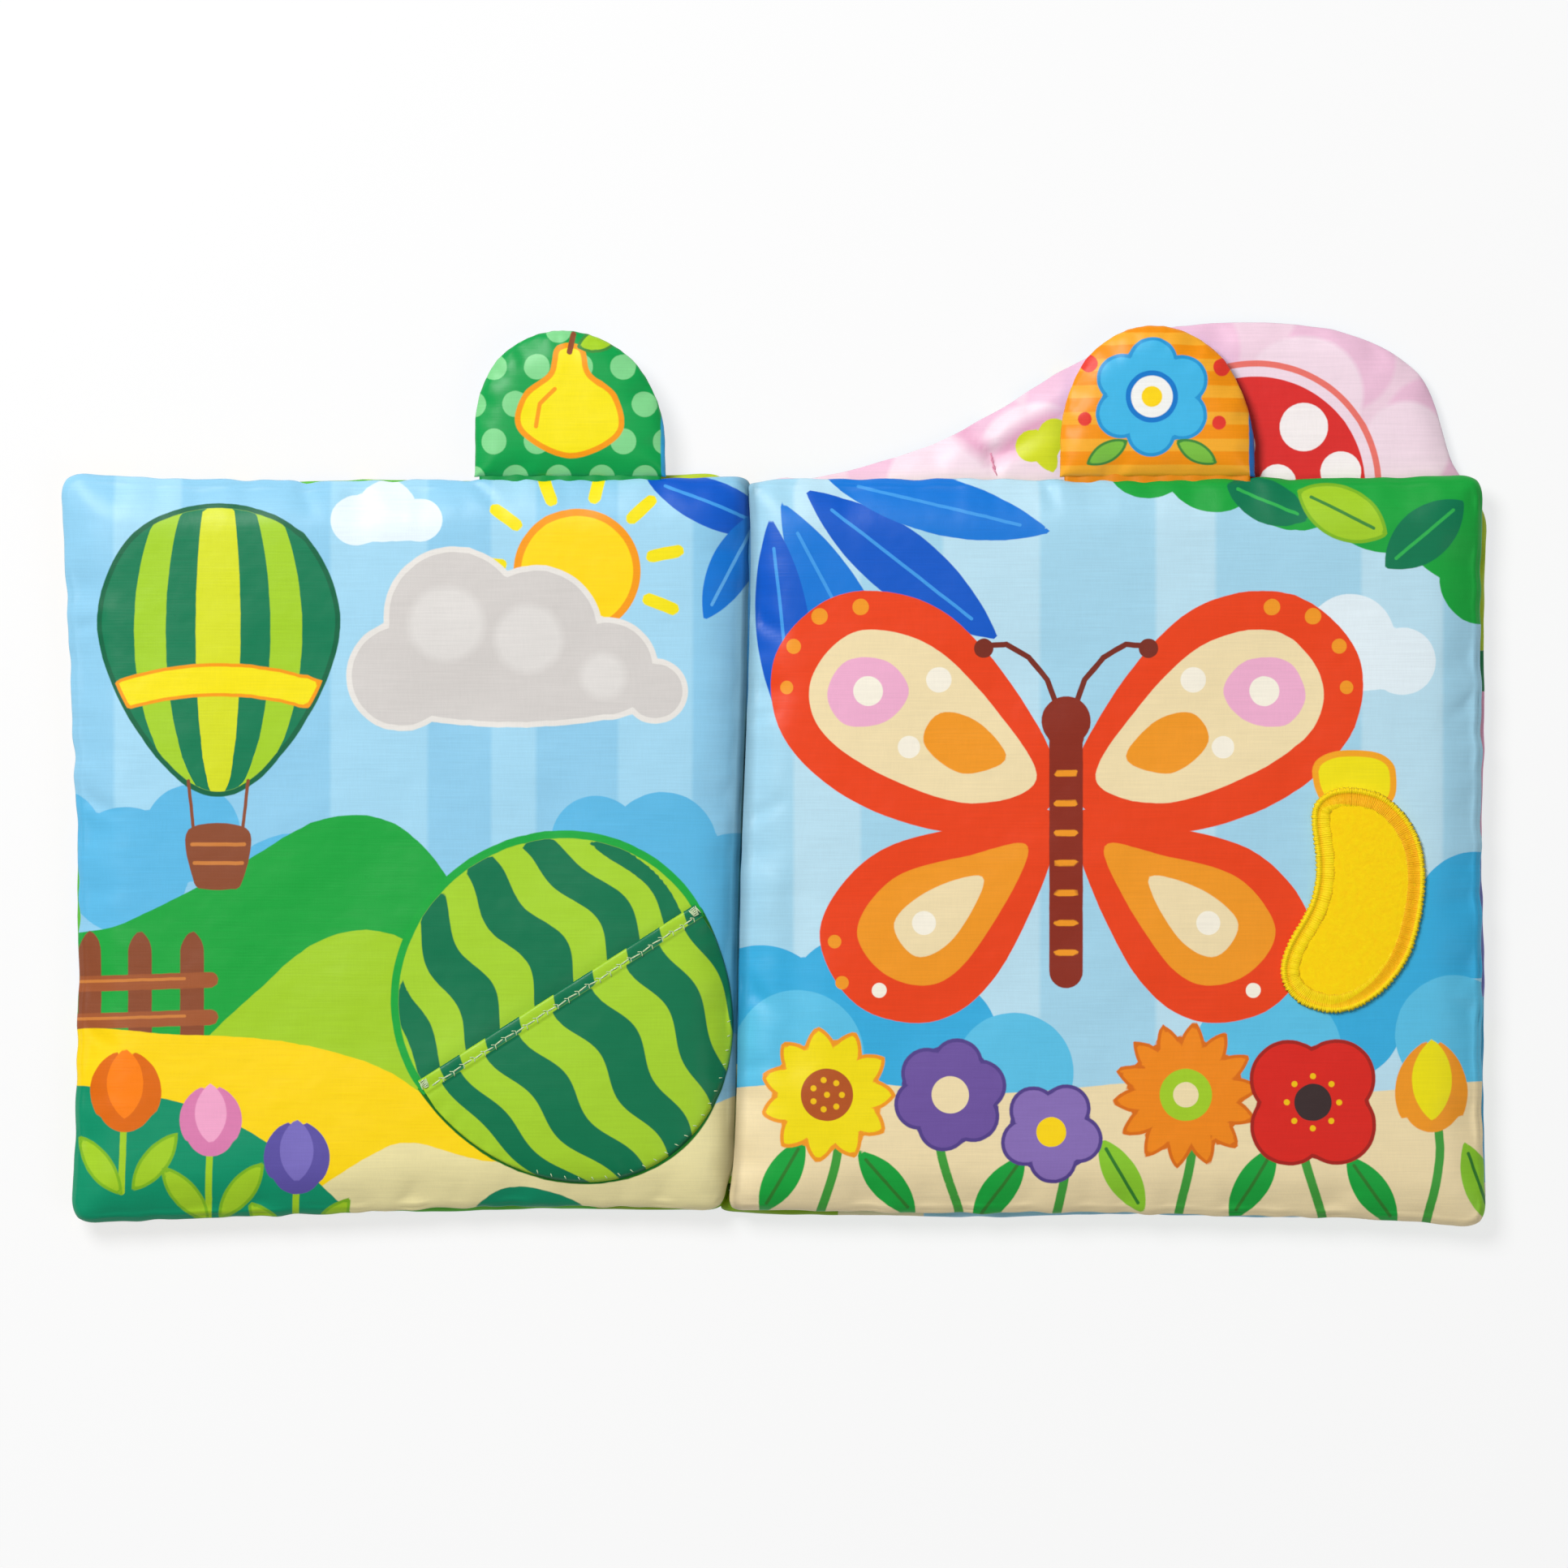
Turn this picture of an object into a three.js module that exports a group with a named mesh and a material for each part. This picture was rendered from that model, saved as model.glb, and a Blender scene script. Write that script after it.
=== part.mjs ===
// A crinkle cloth book lying open: four padded leaves sewn down the middle, two grab tabs,
// a fruit pocket and a stitched-on patch. Millimetres, +Z up. The pages lie in X and Y, the spine
// runs along Y, and the origin is on the table under the middle of the spine.
import * as THREE from "three";

// Fit
const clearance = 0.3; // between pieces that are sewn together or lie on each other

// Cloth, film and filling
const clothThickness = 0.8;
const filmThickness = 0.4;
const leafThickness = 6.5;
const tabThickness = 5;

// Leaves, by how far each corner lies from the spine and above or below the page's middle
const pageHeight = 200;
const leftPage = {
  outerTop: 182,
  outerBottom: 179.2,
  overhangTop: 1.5, // the left page rolls over the gutter at its top
  shortfallBottom: 5.2,
  liftBottom: 3, // its lower inner corner is drawn up
};
const rightPage = {
  outerTop: 197.6,
  outerBottom: 198.5,
  startTop: 2.6,
  overhangBottom: 2.4,
  liftBottom: 2.4,
};
const frontCover = { outerTop: 180.6, outerBottom: 180, riseTop: 1 };
const backCover = { outer: 199.4 };
const coverStart = 4; // both covers stop short of the spine cloth
const cornerRadius = 7;
const edgeRoll = 13; // how far in from its seam a leaf reaches its full thickness
const tabRoll = 9;

// Gathered seams
const ruffleDepth = 0.8;
const rufflesPerSide = 2.5;
const pointsPerSide = 10;
const pointsPerCorner = 3;
const ruffleShiftShares = { leftPage: 0, rightPage: 0.3, frontCover: 0.6, backCover: 0.15 };

// Arch at the top of the back cover, by the points that its edge passes: how far out from the
// spine as a share of the cover, and how far over the page's top as a share of the arch
const archHeight = 41;
const archShares = [
  [1, -0.293],
  [0.955, 0.073],
  [0.908, 0.671],
  [0.787, 0.976],
  [0.592, 1],
  [0.451, 0.768],
  [0.351, 0.476],
  [0.246, 0.207],
  [0.1, 0],
];
const archPoints = 22;

// Grab tabs
const leftTabMiddle = -46.9;
const leftTabWidth = 51.9;
const leftTabHeight = 40;
const leftTabStraight = 11; // height of the straight sides under the round top
const leftTabLean = -2; // its crown lies this much to the left of its base
const rightTabMiddle = 110.6;
const rightTabWidth = 52.9;
const rightTabHeight = 41.4;
const rightTabStraight = 8;
const rightTabLean = -1;
const tabArchPoints = 14;
const tabBasePoints = 5;

// Pocket: half an ellipse whose straight side is the mouth
const pocketMouthMiddle = { x: -50.5, y: -38.7 };
const pocketHalfWidth = 44.6;
const pocketDepth = 53.2;
const pocketTurn = 32.5; // degrees, the mouth against +X
const pocketGap = 5; // clear height inside, at the middle of the mouth
const hemRise = 0.5; // the folded hem stands this much over the rest of the pocket
const hemWidth = 4.6;
const pocketColumns = 14;
const pocketRows = 7;
const pocketEndShare = 0.985; // how far along its half width each end of the mouth reaches

// Threads
const threadThickness = 0.6;
const hemThreadShare = 0.945; // how far along the pocket's half width its hem seam reaches
const hemStitches = 22;
const zigzagWidth = 1.7;
const zigzagFromMouth = 3.1;
const barTackLength = 4;
const barTackWidth = 1.6;
const barTackHeight = 0.6;
const spineStitchLength = 4;
const spineStitchRise = 0.3;
const spineThreadWidth = 0.8;

// Banana patch
const bananaCentre = { x: 162.7, y: -14 };
const bananaWidth = 39;
const bananaHeight = 60.6;
const bananaOutlineShares = [
  [-0.01, 0.5],
  [-0.19, 0.475],
  [-0.285, 0.39],
  [-0.25, 0.16],
  [-0.29, -0.01],
  [-0.46, -0.21],
  [-0.492, -0.35],
  [-0.37, -0.455],
  [-0.128, -0.5],
  [0.1, -0.455],
  [0.3, -0.34],
  [0.43, -0.18],
  [0.5, 0.09],
  [0.44, 0.3],
  [0.24, 0.455],
];
const bananaPoints = 44;
const patchThickness = 1.2;
const satinWidth = 3.8;
const satinThickness = 0.7;

// Spine
const spineClothWidth = 7.2;
const spineClothThickness = 0.9;
const spineClothShortfall = 4; // the spine cloth ends this far inside each end of the pages
const spineThreadShortfall = 7;

// Tuck on the back cover
const tuckPlaceShare = 0.3345; // out from the spine, as a share of the cover
const tuckAbovePage = 3.5;

// Shares of the roll's width at which its rings lie, from the seam inwards
const outerRingShares = [0, 0.14, 0.45, 1];
const innerRingShares = [0.1, 1];
const fillingRingShares = [0.3, 0.6, 1];
const rollExponent = 2.4; // 2 is a round roll, more is fuller

// Levels
const seamHalf = clearance / 2 + clothThickness; // half the thickness at a seam
const coverMiddle = leafThickness / 2;
const pageMiddle = leafThickness + clearance + leafThickness / 2;
const coverTop = leafThickness;
const pageTop = pageMiddle + leafThickness / 2;
const halfHeight = pageHeight / 2;

const book = new THREE.Group();

function plain(colour, roughness) {
  return new THREE.MeshStandardMaterial({ color: colour, roughness, metalness: 0 });
}

function cloth(colour) {
  return plain(colour, 0.62);
}

function thread(colour) {
  return plain(colour, 0.5);
}

function add(name, geometry, material) {
  const mesh = new THREE.Mesh(geometry, material);
  mesh.name = name;
  book.add(mesh);
  return mesh;
}

// A closed body through rings of equally many points, each ring { points, z }, capped at both ends.
// The rings run counterclockwise seen from above, and the first one is the upper cap.
function loftRings(rings) {
  const count = rings[0].points.length;
  const positions = [];
  const index = [];
  for (const { points, z } of rings) {
    points.forEach((p) => positions.push(p.x, p.y, z));
  }
  for (let ring = 0; ring < rings.length - 1; ring++) {
    for (let i = 0; i < count; i++) {
      const a = ring * count + i;
      const b = ring * count + ((i + 1) % count);
      index.push(a, b + count, b, a, a + count, b + count);
    }
  }
  const last = (rings.length - 1) * count;
  const upper = THREE.ShapeUtils.triangulateShape(rings[0].points, []);
  const lower = THREE.ShapeUtils.triangulateShape(rings[rings.length - 1].points, []);
  upper.forEach(([a, b, c]) => index.push(a, b, c));
  lower.forEach(([a, b, c]) => index.push(last + a, last + c, last + b));
  const geometry = new THREE.BufferGeometry();
  geometry.setAttribute("position", new THREE.Float32BufferAttribute(positions, 3));
  geometry.setIndex(index);
  geometry.computeVertexNormals();
  return geometry;
}

// One straight side of a page with its gathers, which only draw the edge inwards.
function ruffledSide(from, to, shift, calm = () => false) {
  const along = to.clone().sub(from);
  const inwards = new THREE.Vector2(-along.y, along.x).normalize();
  const points = [];
  for (let i = 0; i < pointsPerSide; i++) {
    const share = i / pointsPerSide;
    const wave = (1 - Math.cos(2 * Math.PI * (rufflesPerSide * share + shift))) / 2;
    const point = from.clone().addScaledVector(along, share);
    const depth = calm(point) ? 0 : ruffleDepth * wave * Math.sin(Math.PI * share);
    points.push(point.addScaledVector(inwards, depth));
  }
  return points;
}

// A corner rounded off where the side from one neighbour turns towards the other.
function roundCorner(before, corner, after) {
  const start = corner.clone().add(before.clone().sub(corner).setLength(cornerRadius));
  const end = corner.clone().add(after.clone().sub(corner).setLength(cornerRadius));
  return new THREE.QuadraticBezierCurve(start, corner, end).getPoints(pointsPerCorner);
}

// A leaf's outline, counterclockwise, through its corners: lower left, lower right, then the rest.
function leafOutline(corners, shift, calm) {
  const points = [];
  const corner = (i) => corners[(i + corners.length) % corners.length];
  corners.forEach((at, i) => {
    const round = roundCorner(corner(i - 1), at, corner(i + 1));
    const next = roundCorner(at, corner(i + 1), corner(i + 2));
    points.push(...round.slice(0, -1), ...ruffledSide(round[pointsPerCorner], next[0], shift, calm));
  });
  return points;
}

// The back cover's outline: a page whose top edge climbs into a broad arch.
function archedOutline(left, right, shift) {
  const passes = archShares.map(
    ([out, up]) => new THREE.Vector2(out * right, halfHeight + up * archHeight),
  );
  const lowerLeft = new THREE.Vector2(left, -halfHeight);
  const lowerRight = new THREE.Vector2(right, -halfHeight);
  const upperLeft = new THREE.Vector2(left, halfHeight);
  const atLowerLeft = roundCorner(upperLeft, lowerLeft, lowerRight);
  const atLowerRight = roundCorner(lowerLeft, lowerRight, passes[0]);
  const atUpperLeft = roundCorner(passes[passes.length - 1], upperLeft, lowerLeft);
  return [
    ...atLowerLeft.slice(0, -1),
    ...ruffledSide(atLowerLeft[pointsPerCorner], atLowerRight[0], shift),
    ...atLowerRight.slice(0, -1),
    ...ruffledSide(atLowerRight[pointsPerCorner], passes[0], shift),
    ...new THREE.SplineCurve(passes).getSpacedPoints(archPoints),
    ...atUpperLeft.slice(0, -1),
    ...ruffledSide(atUpperLeft[pointsPerCorner], atLowerLeft[0], shift),
  ];
}

// A tab's outline, counterclockwise: a straight base, straight sides and a half ellipse on top.
function tabOutline(middle, width, height, straight, lean) {
  const base = halfHeight + clearance;
  const points = [];
  for (let i = 0; i < tabBasePoints; i++) {
    points.push(new THREE.Vector2(middle - width / 2 + (width * i) / tabBasePoints, base));
  }
  points.push(new THREE.Vector2(middle + width / 2, base));
  for (let i = 0; i <= tabArchPoints; i++) {
    const angle = (Math.PI * i) / tabArchPoints;
    points.push(
      new THREE.Vector2(
        middle + lean * Math.sin(angle) + (width / 2) * Math.cos(angle),
        base + straight + (height - straight) * Math.sin(angle),
      ),
    );
  }
  return points;
}

// The outline drawn in by the same depth on every side of its box.
function drawnIn(outline, depth) {
  const box = new THREE.Box2().setFromPoints(outline);
  const centre = box.getCenter(new THREE.Vector2());
  const size = box.getSize(new THREE.Vector2());
  const scaleX = 1 - (2 * depth) / size.x;
  const scaleY = 1 - (2 * depth) / size.y;
  return outline.map(
    (p) =>
      new THREE.Vector2(
        centre.x + (p.x - centre.x) * scaleX,
        centre.y + (p.y - centre.y) * scaleY,
      ),
  );
}

// How far a padded piece's outer face stands from its middle plane, by the share of its roll.
function rollRise(share, thickness) {
  const rise = (1 - (1 - share) ** rollExponent) ** (1 / rollExponent);
  return seamHalf + (thickness / 2 - seamHalf) * rise;
}

// One cloth of a padded piece, side 1 for the upper and -1 for the lower.
function clothShell(outline, middle, thickness, roll, side) {
  const ring = (share, z) => ({ points: drawnIn(outline, roll * share), z: middle + side * z });
  const outer = outerRingShares.map((share) => ring(share, rollRise(share, thickness)));
  const inner = innerRingShares.map((share) =>
    ring(share, rollRise(share, thickness) - clothThickness - share * clearance),
  );
  const seam = { points: outline, z: middle + (side * clearance) / 2 };
  const rings = [...outer.reverse(), seam, ...inner];
  return loftRings(side > 0 ? rings : rings.reverse());
}

// The space inside the two cloths, for the film and the filling.
function innerHalf(thickness) {
  return thickness / 2 - clothThickness - 2 * clearance;
}

function crinkleFilm(outline, middle, thickness, roll) {
  const points = drawnIn(outline, roll);
  const top = middle + innerHalf(thickness);
  return loftRings([
    { points, z: top },
    { points, z: top - filmThickness },
  ]);
}

// Filling under the film, or right up to the upper cloth where there is none.
function filling(outline, middle, thickness, roll, underFilm) {
  const half = innerHalf(thickness);
  const upper = underFilm ? half - filmThickness - clearance : half;
  const fullness = (share) => share ** (1 / rollExponent);
  const top = fillingRingShares.map((share) => ({
    points: drawnIn(outline, roll * share),
    z: middle + (upper / 2) * (1 + fullness(share)) * share ** (1 / rollExponent),
  }));
  const bottom = fillingRingShares.map((share) => ({
    points: drawnIn(outline, roll * share),
    z: middle - (half / 2) * (1 + fullness(share)) * share ** (1 / rollExponent),
  }));
  return loftRings([...top.reverse(), ...bottom]);
}

function paddedLeaf(name, outline, middle, faceColour, backColour) {
  const size = [middle, leafThickness, edgeRoll];
  add(`${name}_face_cloth`, clothShell(outline, ...size, 1), cloth(faceColour));
  add(`${name}_back_cloth`, clothShell(outline, ...size, -1), cloth(backColour));
  add(`${name}_crinkle_film`, crinkleFilm(outline, ...size), plain(0xd9dee2, 0.25));
  add(`${name}_batting`, filling(outline, ...size, true), plain(0xf7f6f2, 1));
}

function paddedTab(name, outline, faceColour, backColour) {
  const size = [pageMiddle, tabThickness, tabRoll];
  add(`${name}_face_cloth`, clothShell(outline, ...size, 1), cloth(faceColour));
  add(`${name}_back_cloth`, clothShell(outline, ...size, -1), cloth(backColour));
  add(`${name}_batting`, filling(outline, ...size, false), plain(0xf7f6f2, 1));
}

// The seam of a page lies straight where a tab is sewn into it.
const underTab = (middle, width) => (point) => Math.abs(point.x - middle) < width;

const at = (x, y) => new THREE.Vector2(x, y);
const leftPageOutline = leafOutline(
  [
    at(-leftPage.outerBottom, -halfHeight),
    at(-leftPage.shortfallBottom, leftPage.liftBottom - halfHeight),
    at(leftPage.overhangTop, halfHeight),
    at(-leftPage.outerTop, halfHeight),
  ],
  ruffleShiftShares.leftPage,
  underTab(leftTabMiddle, leftTabWidth),
);
const rightPageOutline = leafOutline(
  [
    at(-rightPage.overhangBottom, rightPage.liftBottom - halfHeight),
    at(rightPage.outerBottom, -halfHeight),
    at(rightPage.outerTop, halfHeight),
    at(rightPage.startTop, halfHeight),
  ],
  ruffleShiftShares.rightPage,
  underTab(rightTabMiddle, rightTabWidth),
);
const frontCoverOutline = leafOutline(
  [
    at(-frontCover.outerBottom, -halfHeight),
    at(-coverStart, -halfHeight),
    at(-coverStart, halfHeight + frontCover.riseTop),
    at(-frontCover.outerTop, halfHeight),
  ],
  ruffleShiftShares.frontCover,
);
const backCoverOutline = archedOutline(coverStart, backCover.outer, ruffleShiftShares.backCover);

paddedLeaf("front_cover", frontCoverOutline, coverMiddle, 0x5fbf3f, 0x2f9bd8);
paddedLeaf("left_page", leftPageOutline, pageMiddle, 0x8fcbea, 0xf3c53a);
paddedLeaf("right_page", rightPageOutline, pageMiddle, 0xee5a1c, 0x7ac143);
paddedLeaf("back_cover", backCoverOutline, coverMiddle, 0xf1c9dc, 0x2f9bd8);

paddedTab(
  "left_tab",
  tabOutline(leftTabMiddle, leftTabWidth, leftTabHeight, leftTabStraight, leftTabLean),
  0x17a34f,
  0x2fa8dc,
);
paddedTab(
  "right_tab",
  tabOutline(rightTabMiddle, rightTabWidth, rightTabHeight, rightTabStraight, rightTabLean),
  0xf79a1e,
  0x2fa8dc,
);

// Pocket axes: along the mouth, and from the mouth down to the round edge
const pocketAngle = THREE.MathUtils.degToRad(pocketTurn);
const mouthAxis = new THREE.Vector2(Math.cos(pocketAngle), Math.sin(pocketAngle));
const depthAxis = new THREE.Vector2(mouthAxis.y, -mouthAxis.x);

// A place on the pocket: along runs from -1 to 1 down the mouth, depth in millimetres from it.
function pocketPoint(along, depth) {
  return new THREE.Vector2(pocketMouthMiddle.x, pocketMouthMiddle.y)
    .addScaledVector(mouthAxis, along * pocketHalfWidth)
    .addScaledVector(depthAxis, depth);
}

function pocketDepthAt(along) {
  return pocketDepth * Math.sqrt(1 - along ** 2);
}

// The left page's surface under a point: it rolls down towards the gutter.
function pageSurface(point) {
  const upShare = (point.y + halfHeight) / pageHeight;
  const edge = THREE.MathUtils.lerp(-leftPage.shortfallBottom, leftPage.overhangTop, upShare);
  const share = THREE.MathUtils.clamp((edge - point.x) / edgeRoll, 0, 1);
  return pageMiddle + rollRise(share, leafThickness);
}

// How far the pocket stands off the page: most at the middle of the mouth, nothing at its sewn edge.
function pocketRise(along, depthShare) {
  return pocketGap * (1 - along ** 2) * (1 - depthShare ** 3);
}

function pocketOuter(along, depth) {
  const depthShare = Math.min(1, depth / pocketDepthAt(along));
  const hem = depth < hemWidth ? hemRise * (1 - along ** 2) : 0;
  const page = pageSurface(pocketPoint(along, depth));
  return page + clearance + pocketRise(along, depthShare) + clothThickness + hem;
}

function pocketGeometry() {
  const positions = [];
  const index = [];
  const columns = pocketColumns + 1;
  const rows = pocketRows + 1;
  const layer = columns * rows;
  for (const upper of [true, false]) {
    for (let column = 0; column < columns; column++) {
      const along = pocketEndShare * Math.sin(Math.PI * (column / pocketColumns - 0.5));
      for (let row = 0; row < rows; row++) {
        const reach = pocketDepthAt(along);
        const beyondHem = Math.max(0, row - 1) / (pocketRows - 1);
        const hemShare = Math.min(hemWidth, reach / 2) / reach;
        const depthShare = row === 0 ? 0 : hemShare + (1 - hemShare) * beyondHem;
        const point = pocketPoint(along, depthShare * reach);
        const inner = pageSurface(point) + clearance + pocketRise(along, depthShare);
        const hem = row < 2 ? hemRise * (1 - along ** 2) : 0;
        positions.push(point.x, point.y, upper ? inner + clothThickness + hem : inner);
      }
    }
  }
  for (let column = 0; column < pocketColumns; column++) {
    for (let row = 0; row < pocketRows; row++) {
      const a = column * rows + row;
      const b = a + rows;
      index.push(a, a + 1, b + 1, a, b + 1, b);
      index.push(layer + a, layer + b + 1, layer + a + 1, layer + a, layer + b, layer + b + 1);
    }
  }
  const rim = [];
  for (let column = 0; column < pocketColumns; column++) rim.push(column * rows);
  for (let row = 0; row < pocketRows; row++) rim.push(pocketColumns * rows + row);
  for (let column = pocketColumns; column > 0; column--) rim.push(column * rows + pocketRows);
  for (let row = pocketRows; row > 0; row--) rim.push(row);
  rim.forEach((a, i) => {
    const b = rim[(i + 1) % rim.length];
    index.push(a, b, layer + b, a, layer + b, layer + a);
  });
  const geometry = new THREE.BufferGeometry();
  geometry.setAttribute("position", new THREE.Float32BufferAttribute(positions, 3));
  geometry.setIndex(index);
  geometry.computeVertexNormals();
  return geometry;
}

add("fruit_pocket", pocketGeometry(), cloth(0x3f9b35));

// The zigzag thread that closes the pocket's folded hem
function hemThread() {
  const points = [];
  for (let i = 0; i <= 2 * hemStitches; i++) {
    const along = hemThreadShare * (i / hemStitches - 1);
    const swing = i % 2 ? zigzagWidth / 2 : -zigzagWidth / 2;
    const depth = zigzagFromMouth + swing;
    const point = pocketPoint(along, depth);
    const z = pocketOuter(along, 0) + clearance + threadThickness / 2;
    points.push(new THREE.Vector3(point.x, point.y, z));
  }
  const half = threadThickness / 2;
  const section = new THREE.Shape();
  section.moveTo(half, 0);
  section.lineTo(0, half);
  section.lineTo(-half, 0);
  section.lineTo(0, -half);
  section.closePath();
  const route = new THREE.CatmullRomCurve3(points);
  return new THREE.ExtrudeGeometry(section, { steps: 2 * hemStitches, extrudePath: route });
}

add("pocket_hem_thread", hemThread(), thread(0xcfe6c4));

// A short bar of dense stitches: a flat pill with chamfered ends
function barTack() {
  const half = barTackWidth / 2;
  const reach = barTackLength / 2 - half;
  const shape = new THREE.Shape();
  shape.absarc(reach, 0, half, -Math.PI / 2, Math.PI / 2, false);
  shape.absarc(-reach, 0, half, Math.PI / 2, (3 * Math.PI) / 2, false);
  return new THREE.ExtrudeGeometry(shape, {
    depth: barTackHeight,
    bevelEnabled: false,
    curveSegments: 4,
  });
}

for (const [name, side] of [
  ["pocket_bar_tack_left", -1],
  ["pocket_bar_tack_right", 1],
]) {
  const along = side * pocketEndShare;
  const tack = add(name, barTack(), thread(0xf0efe6));
  const place = pocketPoint(along, zigzagFromMouth);
  tack.position.set(place.x, place.y, pocketOuter(along, 0) + clearance);
  tack.rotation.z = pocketAngle + Math.PI / 2;
}

const coverTuck = add("cover_bar_tack", barTack(), thread(0xe58db4));
coverTuck.position.set(
  tuckPlaceShare * backCover.outer,
  halfHeight + tuckAbovePage,
  coverTop + clearance,
);
coverTuck.rotation.z = Math.PI / 2;

// The banana's closed edge, or the same edge drawn in by an inset
function bananaOutline(inset) {
  const passes = bananaOutlineShares.map(
    ([x, y]) =>
      new THREE.Vector3(bananaCentre.x + x * bananaWidth, bananaCentre.y + y * bananaHeight, 0),
  );
  const edge = new THREE.CatmullRomCurve3(passes, true);
  const points = [];
  for (let i = 0; i < bananaPoints; i++) {
    const point = edge.getPointAt(i / bananaPoints);
    const tangent = edge.getTangentAt(i / bananaPoints);
    points.push(new THREE.Vector2(point.x - tangent.y * inset, point.y + tangent.x * inset));
  }
  return points;
}

function flatPiece(outline, hole, thickness) {
  const shape = new THREE.Shape(outline);
  if (hole) shape.holes.push(new THREE.Path(hole));
  return new THREE.ExtrudeGeometry(shape, { depth: thickness, bevelEnabled: false });
}

const patch = add("banana_patch", flatPiece(bananaOutline(0), null, patchThickness), cloth(0xfbd106));
patch.position.z = pageTop + clearance;
const satin = add(
  "banana_satin_border",
  flatPiece(bananaOutline(0), bananaOutline(satinWidth), satinThickness),
  thread(0xf5b21a),
);
satin.position.z = pageTop + clearance + patchThickness + clearance;

// The flat bands of the outer and the inner sheet along the spine, and the seam through them
function spineBand(width, length, thickness) {
  return new THREE.BoxGeometry(width, length, thickness);
}

const bandLength = pageHeight - 2 * spineClothShortfall;
const outerBand = add(
  "outer_spine_cloth",
  spineBand(spineClothWidth, bandLength, spineClothThickness),
  cloth(0x2f9bd8),
);
outerBand.position.z = spineClothThickness / 2;
const innerBand = add(
  "inner_spine_cloth",
  spineBand(spineClothWidth, bandLength, spineClothThickness),
  cloth(0x1f8f4a),
);
innerBand.position.z = outerBand.position.z + spineClothThickness + clearance;

// The spine seam: one thread that rises over each stitch
function spineThread() {
  const length = pageHeight - 2 * spineThreadShortfall;
  const stitches = Math.round(length / spineStitchLength);
  const base = 2 * spineClothThickness + 2 * clearance;
  const shape = new THREE.Shape();
  shape.moveTo(-length / 2, base);
  shape.lineTo(length / 2, base);
  for (let i = stitches; i >= 0; i--) {
    const end = -length / 2 + (length * i) / stitches;
    shape.lineTo(end, base + spineStitchRise);
    if (i > 0) shape.lineTo(end - length / stitches / 2, base + 2 * spineStitchRise);
  }
  shape.closePath();
  const geometry = new THREE.ExtrudeGeometry(shape, { depth: spineThreadWidth, bevelEnabled: false });
  geometry.rotateX(Math.PI / 2);
  geometry.rotateZ(Math.PI / 2);
  geometry.translate(-spineThreadWidth / 2, 0, 0);
  return geometry;
}

add("spine_seam_thread", spineThread(), thread(0xe8e4d8));

export default book;
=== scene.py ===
import math

import bpy
import numpy as np
from mathutils import Matrix
from mathutils.bvhtree import BVHTree


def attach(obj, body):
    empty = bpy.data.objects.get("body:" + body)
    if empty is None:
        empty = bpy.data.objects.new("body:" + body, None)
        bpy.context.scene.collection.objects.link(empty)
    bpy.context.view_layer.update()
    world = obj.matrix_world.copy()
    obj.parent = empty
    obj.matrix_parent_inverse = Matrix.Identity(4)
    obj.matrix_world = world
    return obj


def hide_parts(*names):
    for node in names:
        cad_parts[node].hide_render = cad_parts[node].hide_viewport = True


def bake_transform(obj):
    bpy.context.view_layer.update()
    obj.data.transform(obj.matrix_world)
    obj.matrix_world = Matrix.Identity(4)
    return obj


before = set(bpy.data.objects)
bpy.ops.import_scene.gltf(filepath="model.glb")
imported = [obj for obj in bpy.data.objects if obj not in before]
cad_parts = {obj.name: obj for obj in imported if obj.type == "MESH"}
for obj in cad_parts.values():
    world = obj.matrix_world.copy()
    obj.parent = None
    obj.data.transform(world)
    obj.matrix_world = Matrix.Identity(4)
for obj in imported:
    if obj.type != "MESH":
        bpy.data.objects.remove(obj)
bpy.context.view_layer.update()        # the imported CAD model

scene = bpy.context.scene
scene.view_settings.view_transform = "Standard"
mm = 0.001

# Camera and light

studio = {
    "pixelSize": 0.2174,  # millimetres of the page behind one pixel of the photograph
    "pixels": 1932,
    "centre": (10.44, 17.17, 13.3),
    "cameraHeight": 2500,
    "keyLamp": ((-0.62, 0.72, 1.25), 0.7, 21.2),  # place in metres, size, power
    "fillLamp": ((0.9, -0.5, 1.3), 1.0, 3),
    "worldStrength": 0.22,
    "floorGlow": 0.72,  # how much of the floor seen directly is plain white
}


def addCamera():
    data = bpy.data.cameras.new("photoCamera")
    camera = bpy.data.objects.new("photoCamera", data)
    scene.collection.objects.link(camera)
    x, y, z = studio["centre"]
    camera.location = (x * mm, y * mm, (z + studio["cameraHeight"]) * mm)
    width = studio["pixelSize"] * studio["pixels"]
    data.sensor_width = 36
    data.lens = data.sensor_width * studio["cameraHeight"] / width
    data.clip_end = 20
    scene.camera = camera


def addLamp(name, place, size, power):
    data = bpy.data.lights.new(name, "AREA")
    data.shape, data.size, data.energy = "DISK", size, power
    lamp = bpy.data.objects.new(name, data)
    scene.collection.objects.link(lamp)
    lamp.location = place
    lamp.rotation_mode = "QUATERNION"
    lamp.rotation_quaternion = lamp.location.to_track_quat("Z", "Y")


# Shader maths written as expressions


class Wire:
    def __init__(self, finish, socket):
        self.finish, self.socket = finish, socket

    def __add__(self, other):
        return self.finish.maths("ADD", self, other)

    __radd__ = __add__

    def __sub__(self, other):
        return self.finish.maths("SUBTRACT", self, other)

    def __rsub__(self, other):
        return self.finish.maths("SUBTRACT", other, self)

    def __mul__(self, other):
        return self.finish.maths("MULTIPLY", self, other)

    def __truediv__(self, other):
        return self.finish.maths("DIVIDE", self, other)

    def clamped(self):
        return self.finish.maths("ADD", self, 0, clamp=True)


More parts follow.
